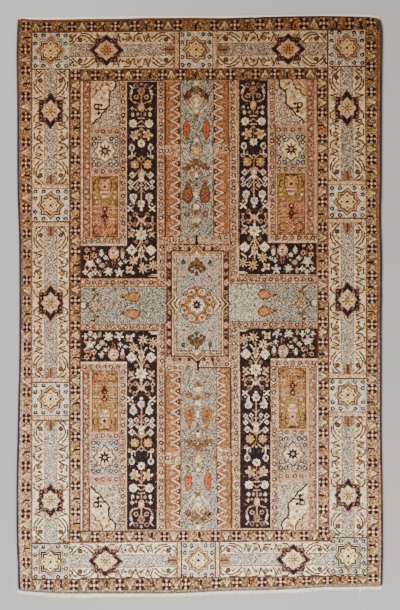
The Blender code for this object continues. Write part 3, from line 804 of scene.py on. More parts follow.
def paintBlockBands(c):
    x0, x1, y0, y1, leftTip, rightTip, *_ = paleLine.values()
    axis, middle = block["axis"], block["middle"]
    for inset, yarn in ((-1.3, "maroon"), (0, "sand"), (1.1, "umber"), (2, "ochre"), (4.1, "umber"),
                        (4.9, "sand")):
        c.shape(blockOutline(inset), yarn)
    for area in ((x0 + 2, y0 + 1.6, x1 - 2, y0 + 4.4), (x0 + 2, y1 - 4.4, x1 - 2, y1 - 1.6)):
        c.mottle(area, 75, gold=0.14, tan=0.34, umber=0.1, cream=0.06)
    for area in ((x0 + 1.8, y0 + 5, x0 + 4.6, y1 - 5), (x1 - 5, y0 + 5, x1 - 1.8, y1 - 5)):
        c.mottle(area, 77, rose=0.3, umber=0.14, mauve=0.2, cream=0.14)
    for x in np.arange(x0 + 6, x1 - 4, 7.2):
        for y in (y0 + 2.9, y1 - 2.9):
            if abs(x - axis) > 7:
                c.disc(x, y, 1.3, "straw", 0.7)
    for y in np.arange(y0 + 6, y1 - 4, 7.4):
        for x, yarn in ((x0 + 2.9, "sand"), (x1 - 2.9, "salmon")):
            if abs(y - middle) > 8:
                c.disc(x, y, 1.1, yarn, 1.5)
    pond = (x0 + 5.2, y0 + 5.2, x1 - 5.6, y1 - 5.2)
    c.ripple(*pond, [(axis, middle), (axis, y0 + 6), (axis, y1 - 6)])
    c.mottle(pond, 76, mist=0.16, pearl=0.12, tan=0.14, umber=0.04)
    for way, end in ((-1, leftTip), (1, rightTip)):
        for k, yarn in enumerate(("umber", "cream", "umber", "cream")):
            tip = end - way * (3.2 + 2.3 * k)
            back = tip - way * 4.6
            c.line([(back, middle - 6.6), (tip, middle), (back, middle + 6.6)], 1, yarn)


def paintLotuses(c):
    axis = block["axis"]
    for way, end in ((1, paleLine["top"]), (-1, paleLine["bottom"])):
        c.shape([(axis - 5.4, end + way * 5), (axis - 0.4, end), (axis + 4.6, end + way * 5)], "sand")
        c.diamond(axis - 0.5, end + way * 1.6, 1.5, "ivory")

        def down(y):
            return end + way * 12 + way * y
        c.scatter(axis - 0.5, [
            (5.4, 3, 3.2, "olive", 0.7), (7.6, 6, 1.9, "umber"),
            ("petals", 0, 0, 6.3, "umber", 4, 0.22), ("petals", 0, 0.4, 4.9, "brown", 4, 0.22),
            (0, 1, 2.6, "olive"), (0, 1.6, 1.3, "umber"), (2.6, 5.4, 1.1, "clay"),
            (4.6, 0.6, 1, "umber"), (4.4, 8, 1.6, "umber"),
            (0, 10.2, 1.9, "slate", 1.3), (13.4, -1.2, 2.2, "moss", 1.1),
            (13.4, -2.6, 1, "ink"), ("petals", 13.6, 8.4, 3.6, "tan", 4, 0.2),
            (13.6, 7.6, 2.4, "salmon", 1.2), (13.6, 8.6, 0.9, "clay"),
            (15.2, 5.6, 0.9, "clay"), (12.6, 13.2, 1.3, "brown"),
        ], down)
        c.stems(axis - 0.5, [
            (1.3, "umber", [(1, 2), (8.6, 4.6)]), (1.2, "umber", [(0.6, 4), (5, 8.6)]),
            (1.1, "umber", [(0, 3), (0, 10)]),
        ], down)


rosette = dict(x=196.8, y=305, rings=13.3, buds=15.2)


def paintRosette(c):
    x, y = rosette["x"], rosette["y"]
    c.petals(x, y, 18.4, "umber", 8, 0.07, 0)
    c.petals(x, y, 17.3, "tan", 8, 0.07, 0)
    for way in (-1, 1):
        c.line([(x - 7, y + way * 16.6), (x - 2.4, y + way * 18), (x + 4.6, y + way * 18),
                (x + 8, y + way * 16.6)], 1.3, "rust")
    for k in range(8):
        turn = math.radians(22.5 + 45 * k)
        spotX = x + rosette["rings"] * math.sin(turn)
        spotY = y - rosette["rings"] * math.cos(turn) * 1.02
        c.disc(spotX, spotY, 4.5, "umber")
        c.disc(spotX, spotY, 3.8, "pink" if k in (0, 3, 4, 7) else "sand")
        c.ring(spotX, spotY, 1.9, *(("rust", "maroon") if k % 2 else ("brown", "cream")), 0.45)
        turn = math.radians(45 * k)
        c.disc(x + rosette["buds"] * math.sin(turn), y - rosette["buds"] * math.cos(turn), 1.3, "brown")
    for size, yarn in ((13, "umber"), (12, "ochre"), (10.7, "umber"), (9.8, "tan"), (8.6, "umber"),
                       (7.8, "cream")):
        c.star(x, y, size * 1.06, size * 0.74, yarn)
    c.petals(x, y, 5.2, "ink", 8, 0.2)
    c.disc(x, y, 1.3, "stone")
    for tipX, end, way in ((196.4, 243, -1), (198, 362.8, 1)):
        c.line([(tipX, end + way * 7), (tipX, end)], 2, "ink")
        c.diamond(tipX, end - way * 0.4, 2.8, "ink", 0.8)


for paint in (paintWater, paintCanals, paintLakeEnds, paintBlockGround, paintBlockBands, paintLotuses,
              paintRosette):
    paint(chart)
print("channels and star block charted")

# The borders, drawn along each side in turn: along the side, then in from the outer edge

guards = {  # side: how far along each cross of the outer and of the inner guard stands
    "top": (
        (24.9, 46.9, 72, 91.6, 115.4, 134.6, 158.5, 177.7, 214.4, 234.7, 260, 279.3, 304, 324, 349.5,
         372.4),
        (75, 95.4, 119.3, 137.5, 162.4, 180.5, 210.5, 230.6, 255.5, 275, 299.5, 320.5)),
    "bottom": (
        (26.8, 48.5, 73.7, 94.1, 119.9, 140, 166.5, 185.8, 216.3, 237, 261.9, 280.6, 306.5, 327.6, 352.4,
         374),
        (74, 95, 119.3, 139.4, 164.5, 183.3, 215.6, 236.4, 260, 279.3, 304, 325.6)),
    "left": (
        (26, 49.4, 70.4, 96.3, 116.6, 142, 163, 188, 208.4, 233.6, 254, 280, 301, 327, 346.6,
         371.6, 392, 418, 438.6, 465.6, 487.6, 513.6, 535.4, 562, 583),
        (75.5, 95, 115.4, 141, 160, 185.5, 206, 230.4, 251.4, 278.6, 300.5, 325.5, 344.6, 370.2, 390.3,
         416.3, 436.5, 463.4, 485.7, 511.9, 534.8)),
    "right": (
        (22.7, 45.7, 66.3, 91.8, 112.5, 138.8, 160, 183.4, 203, 229.3, 248.9, 275.6, 298.6, 324.2, 344,
         368.2, 388.6, 415.4, 435.2, 462.5, 484.4, 510, 532, 558.7, 578.6),
        (74, 92.4, 112.4, 138.6, 157.6, 182, 201.6, 227, 248, 274, 296.4, 321.6, 342, 366.6, 385.6,
         411.6, 433, 460.6, 482, 509, 531)),
}
guard = dict(  # the outer guard's middle line on each side, and what differs from side to side
    middle={"top": 6.4, "bottom": 7.5, "left": 6, "right": 6.4}, width=12.2, half=6, slimHalf=5.2,
    bottomHalf=4.9, innerMiddle=55.4, dim={"top": 0.14, "bottom": 0.16}, innerDim=0.02, topInnerDim=0.2,
    glow=0.2, glowStart=350, wideGap=22.6, overrun=7)
wideGap = dict(
    lines=[(0, -1.2, 0, 3.4, 1.9, "ink"), (0, -1.4, 2.6, -2.4, 1.1, "umber")],
    discs=[(-0.6, -3.4, 1.1, "sand"), (-4.6, 1, 0.9, "gold"), (4.4, -1.4, 0.9, "gold")],
    leaves=[(2.6, 1, 5.2, 4, 0.9, "umber")])
narrowGap = [(0, -2.4, 2.8, 2.4, 1.3, "sand"), (1, -4.6, 4.6, 0.4, 0.9, "umber")]


def inPairs(rows):
    # Each line and its mirror image, the left one first
    return [(hand * x, y, hand * toX, toY, *rest) for hand in (-1, 1) for x, y, toX, toY, *rest in rows]


def guardFlower(c, place, after, middle, seed):
    spot = (place + after) / 2
    gap = (place + 4, middle - 5, after - 4, middle + 5)
    if after - place > guard["wideGap"]:
        c.speckle(*gap, "ochre", 0.22, seed + 50)
        c.speckle(spot + 2, *gap[1:], "gold", 0.18, seed + 80)
        c.speckle(*gap, "umber", 0.08, seed + 90)
        c.rules(wideGap["lines"], spot, middle)
        c.draw(wideGap["discs"], spot, middle)
        c.rules(inPairs(wideGap["leaves"]), spot, middle)
    else:
        c.speckle(*gap, "olive", 0.4, seed + 50)
        c.rules(inPairs(narrowGap), spot, middle)
        c.disc(spot, middle - 2.4, 1.3, "pink")
        c.line([(spot, middle), (spot, middle + 4)], 1.1, "tan")


def guardCross(c, place, middle):
    c.disc(place, middle, 5, "brown")
    for x, y in ((-2.5, -2.6), (2.5, -2.6), (-2.5, 2.6), (2.5, 2.6)):
        c.disc(place + x, middle + y, 1.8, "maroon")
        c.disc(place + 0.9 * x, middle + 0.9 * y, 1.2, "ink")
    for x, y in ((0, 0), (3.5, 0), (-3.5, 0), (0, 3.6), (0, -3.6)):
        c.disc(place + x, middle + y, 1.05, "pink" if x or y else "cream")


def guardRun(c, places, middle, seed, dim, outward, inward, footGlow):
    start, stop = places[0] - guard["overrun"], places[-1] + guard["overrun"]
    area = (start, middle - outward, stop, middle + inward)
    c.fill(*area, "clay")
    c.mottle(area, seed, mauve=0.2 + dim, rose=0.2 + dim / 3, ochre=0.12 - dim / 2, brown=0.12 + dim / 2,
             olive=0.07 + dim / 3, salmon=0.14 - dim / 2, pink=0.21 - 0.8 * dim, umber=0.13 + dim,
             maroon=0.11 + dim)
    c.speckle(guard["glowStart"], *area[1:], "pink", footGlow, seed + 11)
    for line in (middle - outward, middle + inward - 1):
        c.fill(start, line, stop, line + 1, "umber" if dim else "brown")
    for k, (place, after) in enumerate(zip(places, places[1:])):
        guardFlower(c, place, after, middle, seed + k)
    for place in places:
        guardCross(c, place, middle)


border = dict(middle=30.6, water=(24.5, 36.8), waterEdges=((24.1, 24.7), (36.6, 37.2)), band=(12.6, 48.7),
              outerStrip=(12.6, 24.7), innerStrip=(36.5, 48.7), squareHalf=18.3, ripplePitch=16)
stations = {  # side: the corner squares and the middle ones, then the star medallions
    "top": ((50.3, 196, 346.2), (106.4, 288.2)),
    "bottom": ((50.2, 198.4, 349.7), (105.4, 293.2)),
    "left": ((50.6, 205.2, 399, 561.8), (110.8, 303, 500.6)),
    "right": ((47.6, 201.6, 395.2, 556.2), (108, 299.8, 495.2)),
}
squareStars = {  # tip, side and yarn of each outline, from the outside in
    "corner": ((16.3, 11.8, "stone"), (15.3, 10.8, "pearl"), (14.5, 10, "umber"), (13, 8.8, "tan"),
               (11.7, 7.7, "umber"), (10.1, 6.2, "straw")),
    "middle": ((14.3, 9.7, "umber"), (12.9, 8.6, "tan"), (11.4, 7.3, "umber"), (9.7, 6, "tan"),
               (9, 5.3, "straw")),
    "foot": ((16.4, 11.9, "moss"), (15.4, 10.9, "pearl"), (14.7, 10.2, "ink"), (13.1, 8.9, "tan"),
             (11.9, 8, "ink"), (10.3, 6.6, "straw")),
}
squareGrounds = {  # the share of each yarn over the plain pearl ground
    "head": dict(mist=0.42, straw=0.2, ivory=0.36, moss=0.06),
    "flank": dict(mist=0.24, cream=0.36, moss=0.08, straw=0.08),
    "left foot": dict(sand=0.12, stone=0.14, tan=0.26, pink=0.2, brown=0.08),
    "right foot": dict(mist=0.26, stone=0.28, tan=0.24, moss=0.14, pink=0.1),
}
squareHearts = {
    "head": dict(sand=0.2), "flank": dict(cream=0.24),
    "left foot": dict(cream=0.4, salmon=0.1), "right foot": dict(cream=0.4, salmon=0.1),
}
channelWear = (  # side, first and last place along it, yarn, share
    ("left", 320, 385, "stone", 0.3), ("left", 320, 385, "clay", 0.06), ("right", 120, 185, "stone", 0.3),
    ("right", 120, 185, "slate", 0.16), ("right", 414, 540, "stone", 0.36), ("right", 414, 540, "tan", 0.1),
    ("right", 414, 540, "slate", 0.14), ("top", 64, 96, "stone", 0.2), ("top", 64, 96, "slate", 0.06),
    ("top", 220, 270, "slate", 0.08), ("bottom", 220, 280, "rose", 0.16), ("left", 320, 385, "slate", 0.06),
    ("left", 66, 110, "stone", 0.16), ("left", 66, 110, "clay", 0.05),
)


def borderSquare(c, place, kind, spot):
    middle, tall, foot = border["middle"], border["squareHalf"], "foot" in spot
    half, spread, eye = (18.3, 15.1, 6.6) if kind == "corner" else (16.6, 13.5, 5.8)
    area = (place - half, middle - tall, place + half, middle + tall)
    c.fill(*area, "pearl")
    c.mottle(area, 91, **squareGrounds[spot])
    for edge in (place - half, place + half):
        c.line([(edge, middle - tall), (edge, middle + tall)], 1.2, "umber")
    for tip, side, yarn in squareStars["foot" if foot and kind == "corner" else kind]:
        c.star(place, middle, tip, side, yarn)
    c.mottle((place - 5, middle - 5, place + 5, middle + 5), 93, **squareHearts[spot])
    c.disc(place, middle, 1.35, "ink")
    for x, y in ((eye, 0), (-eye, 0), (0, eye), (0, -eye)):
        c.disc(place + x, middle + y, 1, "ink" if foot else "umber")
    for x, y in ((3.8, 4.6), (2.2, 2)):
        for handX, handY in ((1, 1), (-1, 1), (-1, -1), (1, -1)):
            c.disc(place + handX * x * eye / 6.6, middle + handY * y * eye / 6.6, 0.7, "clay")
    for x in (-spread, -7, 7, spread):
        for y in (-15.2, -7.2, 7.4, 15.2):
            if abs(x) + abs(y) > 20:
                c.disc(place + x, middle + y, 2, "ink", 1.12)
                c.disc(place + x, middle + y, 0.85, "mist", 1.12)


medallionStars = dict(outer=((15, 11.4, "mauve"), (14.2, 10.8, "maroon"), (12.9, 9.8, "ink")), deep=1.08,
                      inner=((10.8, 7.5, "maroon"), (10.2, 7, "rose"), (9.4, 6.4, "pink")))


def medallion(c, place, name):
    middle = border["middle"]
    atFoot, low = name == "bottom" or place > 480, place > 480
    if low:
        long, tall, *heart = 1.18, 0.97, 1.02, 0.96
    else:
        long, tall, *heart = (1.28, 0.92, 1.1, 0.96) if name in ("left", "right") else (1.2, 1.1, 1.2, 1.04)
    inner, wearAndPaintedShade = (0.06, 0.14) if atFoot else (0.26, 0.04)
    petal = "gold" if name == "top" else "straw"
    for tip, side, yarn in medallionStars["outer"]:
        c.star(place, middle, tip, side, yarn, long, tall, medallionStars["deep"])
    c.mottle((place - 13, middle - 12, place + 13, middle + 12), 97, maroon=0.14, mauve=wearAndPaintedShade)
    for x in (-8.8, -5, 5, 8.8):
        for y in (-9.6, -5.4, 5.4, 9.6):
            if abs(x) + abs(y) > 12:
                c.disc(place + x, middle + y, 0.8, "mauve")
    for tip, side, yarn in medallionStars["inner"]:
        c.star(place, middle, tip, side, yarn, *heart)
    c.mottle((place - 7, middle - 7, place + 7, middle + 7), 98, tan=inner, clay=inner)
    c.disc(place, middle, 5, "umber")
    c.petals(place, middle, 6.4, petal, 8, 0.24)
    for k in range(8):
        turn = math.radians(45 * k + 22.5)
        outer = (place + 4.9 * math.sin(turn), middle + 4.9 * math.cos(turn))
        c.line([(place, middle), outer], 0.9, "umber")
    for k in range(8):
        turn = math.radians(45 * k)
        c.disc(place + 4.6 * math.sin(turn), middle + 4.6 * math.cos(turn), 1.15, petal)
    c.disc(place, middle, 2, "brown")
    c.disc(place, middle, 1.1, "gold")


def leafStrip(c, start, stop, side, seed, golden, warm):
    # A cream strip beside the channel: u runs along it from the square end, w out from the channel
    low, high = border["outerStrip" if side < 0 else "innerStrip"]
    area = (min(start, stop), low, max(start, stop), high)
    c.fill(*area, "cream")
    c.mottle(area, seed, ivory=0.3 - golden, straw=golden, tan=0.08 + warm, brown=0.02 + warm / 3, moss=0.03,
             salmon=0.03)
    base, length = high if side < 0 else low, abs(stop - start)
    hand = 1 if stop > start else -1

    def at(u, w):
        return start + hand * u, base + side * w

    def path(points, width, yarn):
        c.line([at(u, w) for u, w in points], width, yarn)

    path([(0.6, 0.5), (0.6, 11.6)], 1.2, "brown")
    path([(2, 3), (5.4, 8.4), (7.6, 9.6)], 1.4, "umber")
    path([(1.6, 8.6), (4.2, 4.6)], 1.5, "umber")
    c.ring(*at(3.4, 9.8), 1.5, "brown", "cream")
    for r, yarn in ((2.5, "umber"), (1.1, "brown")):
        c.disc(*at(11.6, 4.4), r, yarn)
    path([(4, 1.8), (8, 5.8), (11.2, 8.4), (15.6, 8.9), (20.2, 6.4), (25, 1.6)], 1.45, "umber")
    path([(12.6, 11), (17.4, 10.9), (21.6, 9.2), (25.4, 5.8)], 1.4, "umber")
    path([(15.6, 5.4), (18.6, 2.4)], 1.5, "moss")
    c.flower(*at(16, 4.8), 1.9, "tan", "umber", 5, 0.2, 0.36)
    c.disc(*at(23.4, 7.4), 1.1, "brown")
    u = 27
    while u < length - 6:  # a running zigzag of leaves with flowers between
        path([(u, 2.4), (u + 2.6, 9.8), (u + 5.2, 2.6), (u + 7.6, 9)], 1.4, "umber")
        path([(u + 1.6, 10.6), (u + 4.4, 6.8)], 1.6, "moss")
        c.disc(*at(u + 2.5, 4), 1.5, "tan")
        c.disc(*at(u + 5.2, 8.4), 1.6, "sand")
        c.disc(*at(u + 5.2, 8.4), 0.8, "umber")
        if u + 17 < length:
            c.flower(*at(u + 12.4, 5.4), 3.6, "tan", "moss", 6, 0.15, 0.4)
            path([(u + 8.8, 10.6), (u + 12.6, 11), (u + 16, 8), (u + 17, 2.6)], 1.5, "umber")
            path([(u + 8.8, 2.2), (u + 10.2, 4.4)], 1.5, "umber")
        if u + 27 < length:
            path([(u + 18, 3), (u + 21.6, 10.2), (u + 27, 10.4)], 1.45, "umber")
            c.diamond(*at(u + 22.6, 5.4), 3.4, "brown")
            c.diamond(*at(u + 22.6, 5.4), 1.5, "gold")
            c.disc(*at(u + 27.6, 5), 1.4, "umber")
        u += 30


def paintSpray(c, place, hand):
    # Beside a middle square: the plain band, then a small spray over the channel
    middle = border["middle"]
    end = place + hand * 21.2
    low, high = border["band"]
    band = (min(place, end), low, max(place, end), high)
    c.fill(*band, "tan")
    c.mottle(band, 104, pink=0.4, brown=0.16, salmon=0.12, cream=0.16)
    c.line([(end, low), (end, high)], 0.9, "brown")
    spray = place + hand * 27
    c.diamond(spray - hand * 1.4, middle, 5.6, "clay", 0.9)
    c.mottle((spray - 5.6, middle - 4.8, spray + 5.6, middle + 4.8), 105, brown=0.2, stone=0.14)
    for x, y in ((-3.6, 3), (-3.6, -3), (2.6, 2.2), (2.6, -2.2)):
        c.ring(spray + hand * x, middle + y, 1.4, "brown", "rose", 0.45)
    c.line([(spray - hand * 4.6, middle), (spray + hand * 3.4, middle)], 1.6, "umber")


def paintChannelRun(c, name, start, stop, star, seed):
    golden = 0.14 if name == "bottom" or start > 400 else 0.3
    warm = 0.12 if name == "right" and start > 400 else 0.05 if name == "left" and 100 < start < 300 else 0
    for side in (-1, 1):
        leafStrip(c, start, star, side, seed, golden, warm)
        leafStrip(c, stop, star, side, seed + 7, golden, warm)
    low, high = border["water"]
    hearts = [(place, border["middle"]) for place in np.arange(start, stop, border["ripplePitch"])]
    c.ripple(start, low, stop, high, hearts, "pearl")
    c.mottle((start, low, stop, high), seed + 9, mist=0.1, rose=0.08, tan=0.08, slate=0.05, ivory=0.06)
    for k, (side, since, until, yarn, share) in enumerate(channelWear):
        if side == name and start < (since + until) / 2 < stop:
            c.speckle(max(since, start), low, min(until, stop), high, yarn, share, 131 + k)
    for near, far in border["waterEdges"]:
        c.fill(start, near, stop, far, "brown" if name in ("top", "bottom") else "clay")


def borderRun(c, name, seed):
    squares, stars = stations[name]
    corners = (squares[0], squares[-1])
    for first, last in zip(squares, squares[1:]):
        start, stop = first + border["squareHalf"], last - border["squareHalf"]
        star = next((place for place in stars if start < place < stop), (start + stop) / 2)
        paintChannelRun(c, name, start, stop, star, seed)
    for place in squares[1:-1]:
        for hand in (-1, 1):
            paintSpray(c, place, hand)
    for place in squares:
        spot = "head" if name == "top" or place < 60 else "flank"
        if name == "bottom" or place > 500:
            spot = "right foot" if name == "right" or (name == "bottom" and place > 300) else "left foot"
        borderSquare(c, place, "corner" if place in corners else "middle", spot)
    for star in stars:
        medallion(c, star, name)


def paintGuards(c, name, seed):
    outer, inner = guards[name]
    half = guard["half"]
    glow = guard["glow"] if name == "left" else 0
    innerDim = guard["topInnerDim" if name == "top" else "innerDim"]
    slim = guard["slimHalf"] if name in ("left", "right") else half
    guardRun(c, inner, guard["innerMiddle"], seed, innerDim, half, slim, glow)
    guardRun(c, outer, guard["middle"][name], seed + 1000, guard["dim"].get(name, 0),
             guard["bottomHalf"] if name == "bottom" else half, half, glow)


def paintRugEdges(c):
    # The last knots against the cords and the webs; the dark rows at the head and the foot are partly the
    # end knots' own colour and partly painted shade where the pile meets the web.
    left, top, right, bottom = (rug[side] for side in ("left", "top", "right", "bottom"))
    c.fill(left, top, right, top + 0.8, "umber")
    c.fill(left, bottom - 2.6, right, bottom, "stone")
    c.speckle(left, bottom - 2.6, right, bottom, "slate", 0.4, 85)
    c.fill(left, bottom - 1.4, right, bottom - 0.5, "slate")
    for edge, wide in ((left, 2.8), (right, -1.4)):
        for start, yarns in ((top, dict(mauve=0.3, clay=0.2)), (330, dict(mauve=0.4, rose=0.3, pearl=0.2))):
            c.mottle((min(edge, edge + wide), start, max(edge, edge + wide), bottom - 1.6), 87, **yarns)


cornerReach = 34
for name, (squares, _) in stations.items():
    chart.onSide(name)
    chart.fill(squares[0] - cornerReach, -2, squares[-1] + cornerReach, guard["width"], "clay")
for k, name in enumerate(stations):
    chart.onSide(name)
    borderRun(chart, name, 100 + 20 * k)
for k, name in enumerate(stations):
    chart.onSide(name)
    paintGuards(chart, name, 300 + 200 * k)
chart.straight()
paintRugEdges(chart)
print("borders charted,", chart.columns, "by", chart.rows, "knots")

# Where the charted knots lie in the cloth

layout = dict(
    step=0.00378,  # one step of the chart, in metres
    chartMiddle=(199.75, 304.25),  # the step that the rug's own middle falls on
    shift=(0.00102, 0.00868),
    drawnIn=13.0,  # how many steps in from the edge the outline's wandering still shows
    edgeDepth=0.045, edgeSlot=0.004,  # the edge is looked for within this depth, once in each slot along it
    steepest=0.5,  # an edge that runs off faster than this is rounding its corner
)


def edgeOf(node, along, side):
    # The node's outermost points on one side, as (place along it, place across it)
    points = np.array([tuple(v.co) for v in nodes[node].data.vertices])
    across = 1 - along
    reach = side * points[:, across]
    kept = points[reach > reach.max() - layout["edgeDepth"]]
    slots = np.round(kept[:, along] / layout["edgeSlot"])
    places = []
    for slot in np.unique(slots):
        group = kept[slots == slot]
        places.append(group[np.argmax(side * group[:, across])][[along, across]])
    return np.array(places)


def withoutCorners(places):
    # The side's own line, without the rounding at its two ends
    steep = abs(np.diff(places[:, 1])) > layout["steepest"] * np.diff(places[:, 0])
    kept = np.ones(len(places), bool)
    kept[:-1] &= ~(steep & (places[:-1, 0] < 0))
    kept[1:] &= ~(steep & (places[1:, 0] > 0))
    return places[kept]


edges = {
    "left": edgeOf("rug_pile", 1, -1),
    "right": edgeOf("rug_pile", 1, 1),
    "top": edgeOf("rug_pile", 0, 1),
    "bottom": edgeOf("rug_pile", 0, -1),
}


def toCloth(x, y):
    # Steps of the chart to metres, with the outermost knots drawn to the CAD pile's own outline
    middleX, middleY = layout["chartMiddle"]
    clothX = (x - middleX) * layout["step"] + layout["shift"][0]
    clothY = (middleY - y) * layout["step"] + layout["shift"][1]
    for side, line in (("left", rug["left"]), ("right", rug["right"])):
        near = np.clip(1 - abs(x - line) / layout["drawnIn"], 0, 1)
        edge = (line - middleX) * layout["step"] + layout["shift"][0]
        clothX = clothX + (np.interp(clothY, *edges[side].T) - edge) * near
    for side, line in (("top", rug["top"]), ("bottom", rug["bottom"])):
        near = np.clip(1 - abs(y - line) / layout["drawnIn"], 0, 1)
        edge = (middleY - line) * layout["step"] + layout["shift"][1]
        clothY = clothY + (np.interp(clothX, *edges[side].T) - edge) * near
    return clothX, clothY


# Finishes: a wire is one output socket with Python's operators on it


class Wire:
    def __init__(self, finish, socket):
        self.finish, self.socket = finish, socket

    def sums(self, operation, *terms):
        return self.finish.node("ShaderNodeMath", {"operation": operation}, dict(enumerate(terms)))

    def __add__(self, other):
        return self.sums("ADD", self, other)

    def __mul__(self, other):
        return self.sums("MULTIPLY", self, other)

    def __truediv__(self, other):
        return self.sums("DIVIDE", self, other)

    def sine(self):
        return self.sums("SINE", self)

    __radd__, __rmul__ = __add__, __mul__


class Finish:
    def __init__(self, name):
        self.material = bpy.data.materials.new(name)
        self.material.use_nodes = True
        self.tree = self.material.node_tree
        self.tree.nodes.clear()

    def node(self, kind, settings=None, inputs=None, output=0):
        made = self.tree.nodes.new(kind)
        for name, value in (settings or {}).items():
            if name == "stops":
                ramp = made.color_ramp.elements
                while len(ramp) < len(value):
                    ramp.new(1.0)
                for stop, (place, tint) in zip(ramp, value):
                    stop.position, stop.color = place, tint
            elif name == "between":
                made.color_ramp.interpolation = value
            else:
                setattr(made, name, value)
        for name, value in (inputs or {}).items():
            if isinstance(value, Wire):
                self.tree.links.new(value.socket, made.inputs[name])
            else:
                made.inputs[name].default_value = value
        return Wire(self, made.outputs[output]) if made.outputs else None

    def mix(self, share, first, second, blend="MIX"):
        return self.node("ShaderNodeMix", {"data_type": "RGBA", "blend_type": blend},
                         {0: share, 6: first, 7: second}, 2)

    def spread(self, value, low, high, newLow=0.0, newHigh=1.0):
        return self.node("ShaderNodeMapRange", {}, {0: value, 1: low, 2: high, 3: newLow, 4: newHigh})

    def noise(self, where, scale, detail=2.0):
        return self.node("ShaderNodeTexNoise", {}, {"Vector": where, "Scale": scale, "Detail": detail})

    def bump(self, height, strength, depth):
        return self.node("ShaderNodeBump", {}, {"Height": height, "Strength": strength, "Distance": depth})

    def surface(self, **sockets):
        shader = self.node("ShaderNodeBsdfPrincipled", {}, sockets)
        self.node("ShaderNodeOutputMaterial", {}, {"Surface": shader})
        return self.material


def linear(red, green, blue):
    # A dye as it looks in daylight, 0 to 255, to the shader's own scale
    parts = [v / 255 for v in (red, green, blue)]
    return tuple(v / 12.92 if v < 0.04045 else ((v + 0.055) / 1.055) ** 2.4 for v in parts) + (1.0,)


# What wool and cotton share: they are dull, with a little fuzz that catches the light
fibre = dict(roughness=0.95, specular=0.1, sheen=0.04, sheenRoughness=0.5)


def fibreSurface(finish, tint, height, look):
    return finish.surface(**{
        "Base Color": tint, "Roughness": look.get("roughness", fibre["roughness"]),
        "Specular IOR Level": fibre["specular"], "Sheen Weight": fibre["sheen"],
        "Sheen Roughness": fibre["sheenRoughness"],
        "Normal": finish.bump(height, look["bump"], look["bumpDepth"]),
    })


def meshOf(name, points, faces, material):
    mesh = bpy.data.meshes.new(name)
    mesh.vertices.add(len(points))
    mesh.vertices.foreach_set("co", np.ascontiguousarray(points, np.float32).ravel())
    corners = len(faces[0])
    mesh.loops.add(len(faces) * corners)
    mesh.loops.foreach_set("vertex_index", np.ascontiguousarray(faces, np.int32).ravel())
    mesh.polygons.add(len(faces))
    mesh.polygons.foreach_set("loop_start", np.arange(len(faces), dtype=np.int32) * corners)
    mesh.update(calc_edges=True)
    mesh.polygons.foreach_set("use_smooth", np.ones(len(faces), bool))
    mesh.materials.append(material)
    piece = bpy.data.objects.new(name, mesh)
    scene.collection.objects.link(piece)
    return piece


def gridFaces(rows, columns):
    # Quads of a grid of points that is read row by row from the top left, facing up
    first = (np.arange(rows)[:, None] * (columns + 1) + np.arange(columns)[None, :]).ravel()
    below = first + columns + 1
    return np.stack([first, below, below + 1, first + 1], 1)


def mapUv(piece, name, places):
    # places: one (u, v) for each point of the mesh
    mesh = piece.data
    layer = mesh.uv_layers.new(name=name)
    point = np.empty(len(mesh.loops), np.int32)
    mesh.loops.foreach_get("vertex_index", point)
    layer.data.foreach_set("uv", np.ascontiguousarray(places[point], np.float32).ravel())


def mark(piece, name, values):
    # One number for each face
    layer = piece.data.attributes.new(name, "FLOAT", "FACE")
    layer.data.foreach_set("value", np.ascontiguousarray(values, np.float32))


# The pile: full-length strips of knots, side by side, with the outermost knots rolling down to the floor
pile = dict(
    strips=5, thickness=0.0076, hem=0.0006, bakeMargin=0.004,
    shoulder=(0.0018, 0.00045),  # how far the two outermost lines of knots roll down
    wave=0.00035, uneven=0.5,  # how far the cloth lies below its full height, and how far that varies
    waves=(19, 14), bends=((2, 5), (1.7, 7)),  # radians a metre across and along, and how each is bent
    slant=(0.6, 41, 23),  # a finer wave aslant: its share, and its radians a metre both ways
)


def rowsOfPoints(columns, rows):
    stepX = (rug["right"] - rug["left"]) / columns
    stepY = (rug["bottom"] - rug["top"]) / rows
    x, y = np.meshgrid(rug["left"] + np.arange(columns + 1) * stepX,
                       rug["top"] + np.arange(rows + 1) * stepY)
    return toCloth(x, y)


# The cloth lies a little unevenly, and its outermost knots roll down
clothX, clothY = rowsOfPoints(chart.columns, chart.rows)
(bendX, rateX), (bendY, rateY) = pile["bends"]
waveX = np.sin(clothX * pile["waves"][0] + bendX * np.sin(clothY * rateX))
waveY = np.sin(clothY * pile["waves"][1] + bendY * np.sin(clothX * rateY))
share, slantX, slantY = pile["slant"]
swell = waveX * waveY + share * np.sin(clothX * slantX + clothY * slantY)
clothZ = pile["thickness"] - pile["wave"] * (1 + pile["uneven"] * swell)
for ring, drop in enumerate(pile["shoulder"]):
    for edge in (clothZ[ring], clothZ[-1 - ring], clothZ[:, ring], clothZ[:, -1 - ring]):
        edge[:] = np.minimum(edge, pile["thickness"] - drop)
ground = np.pad(np.dstack([clothX, clothY, clothZ]), ((1, 1), (1, 1), (0, 0)), "edge")
for edge in (ground[0], ground[-1], ground[:, 0], ground[:, -1]):
    edge[:, 2] = pile["hem"]
knotYarn = np.pad(chart.yarn, 1, "edge")
rowCount, columnCount = knotYarn.shape
columnOf, rowOf = np.meshgrid(np.arange(columnCount + 1.0) - 1, np.arange(rowCount + 1.0) - 1)


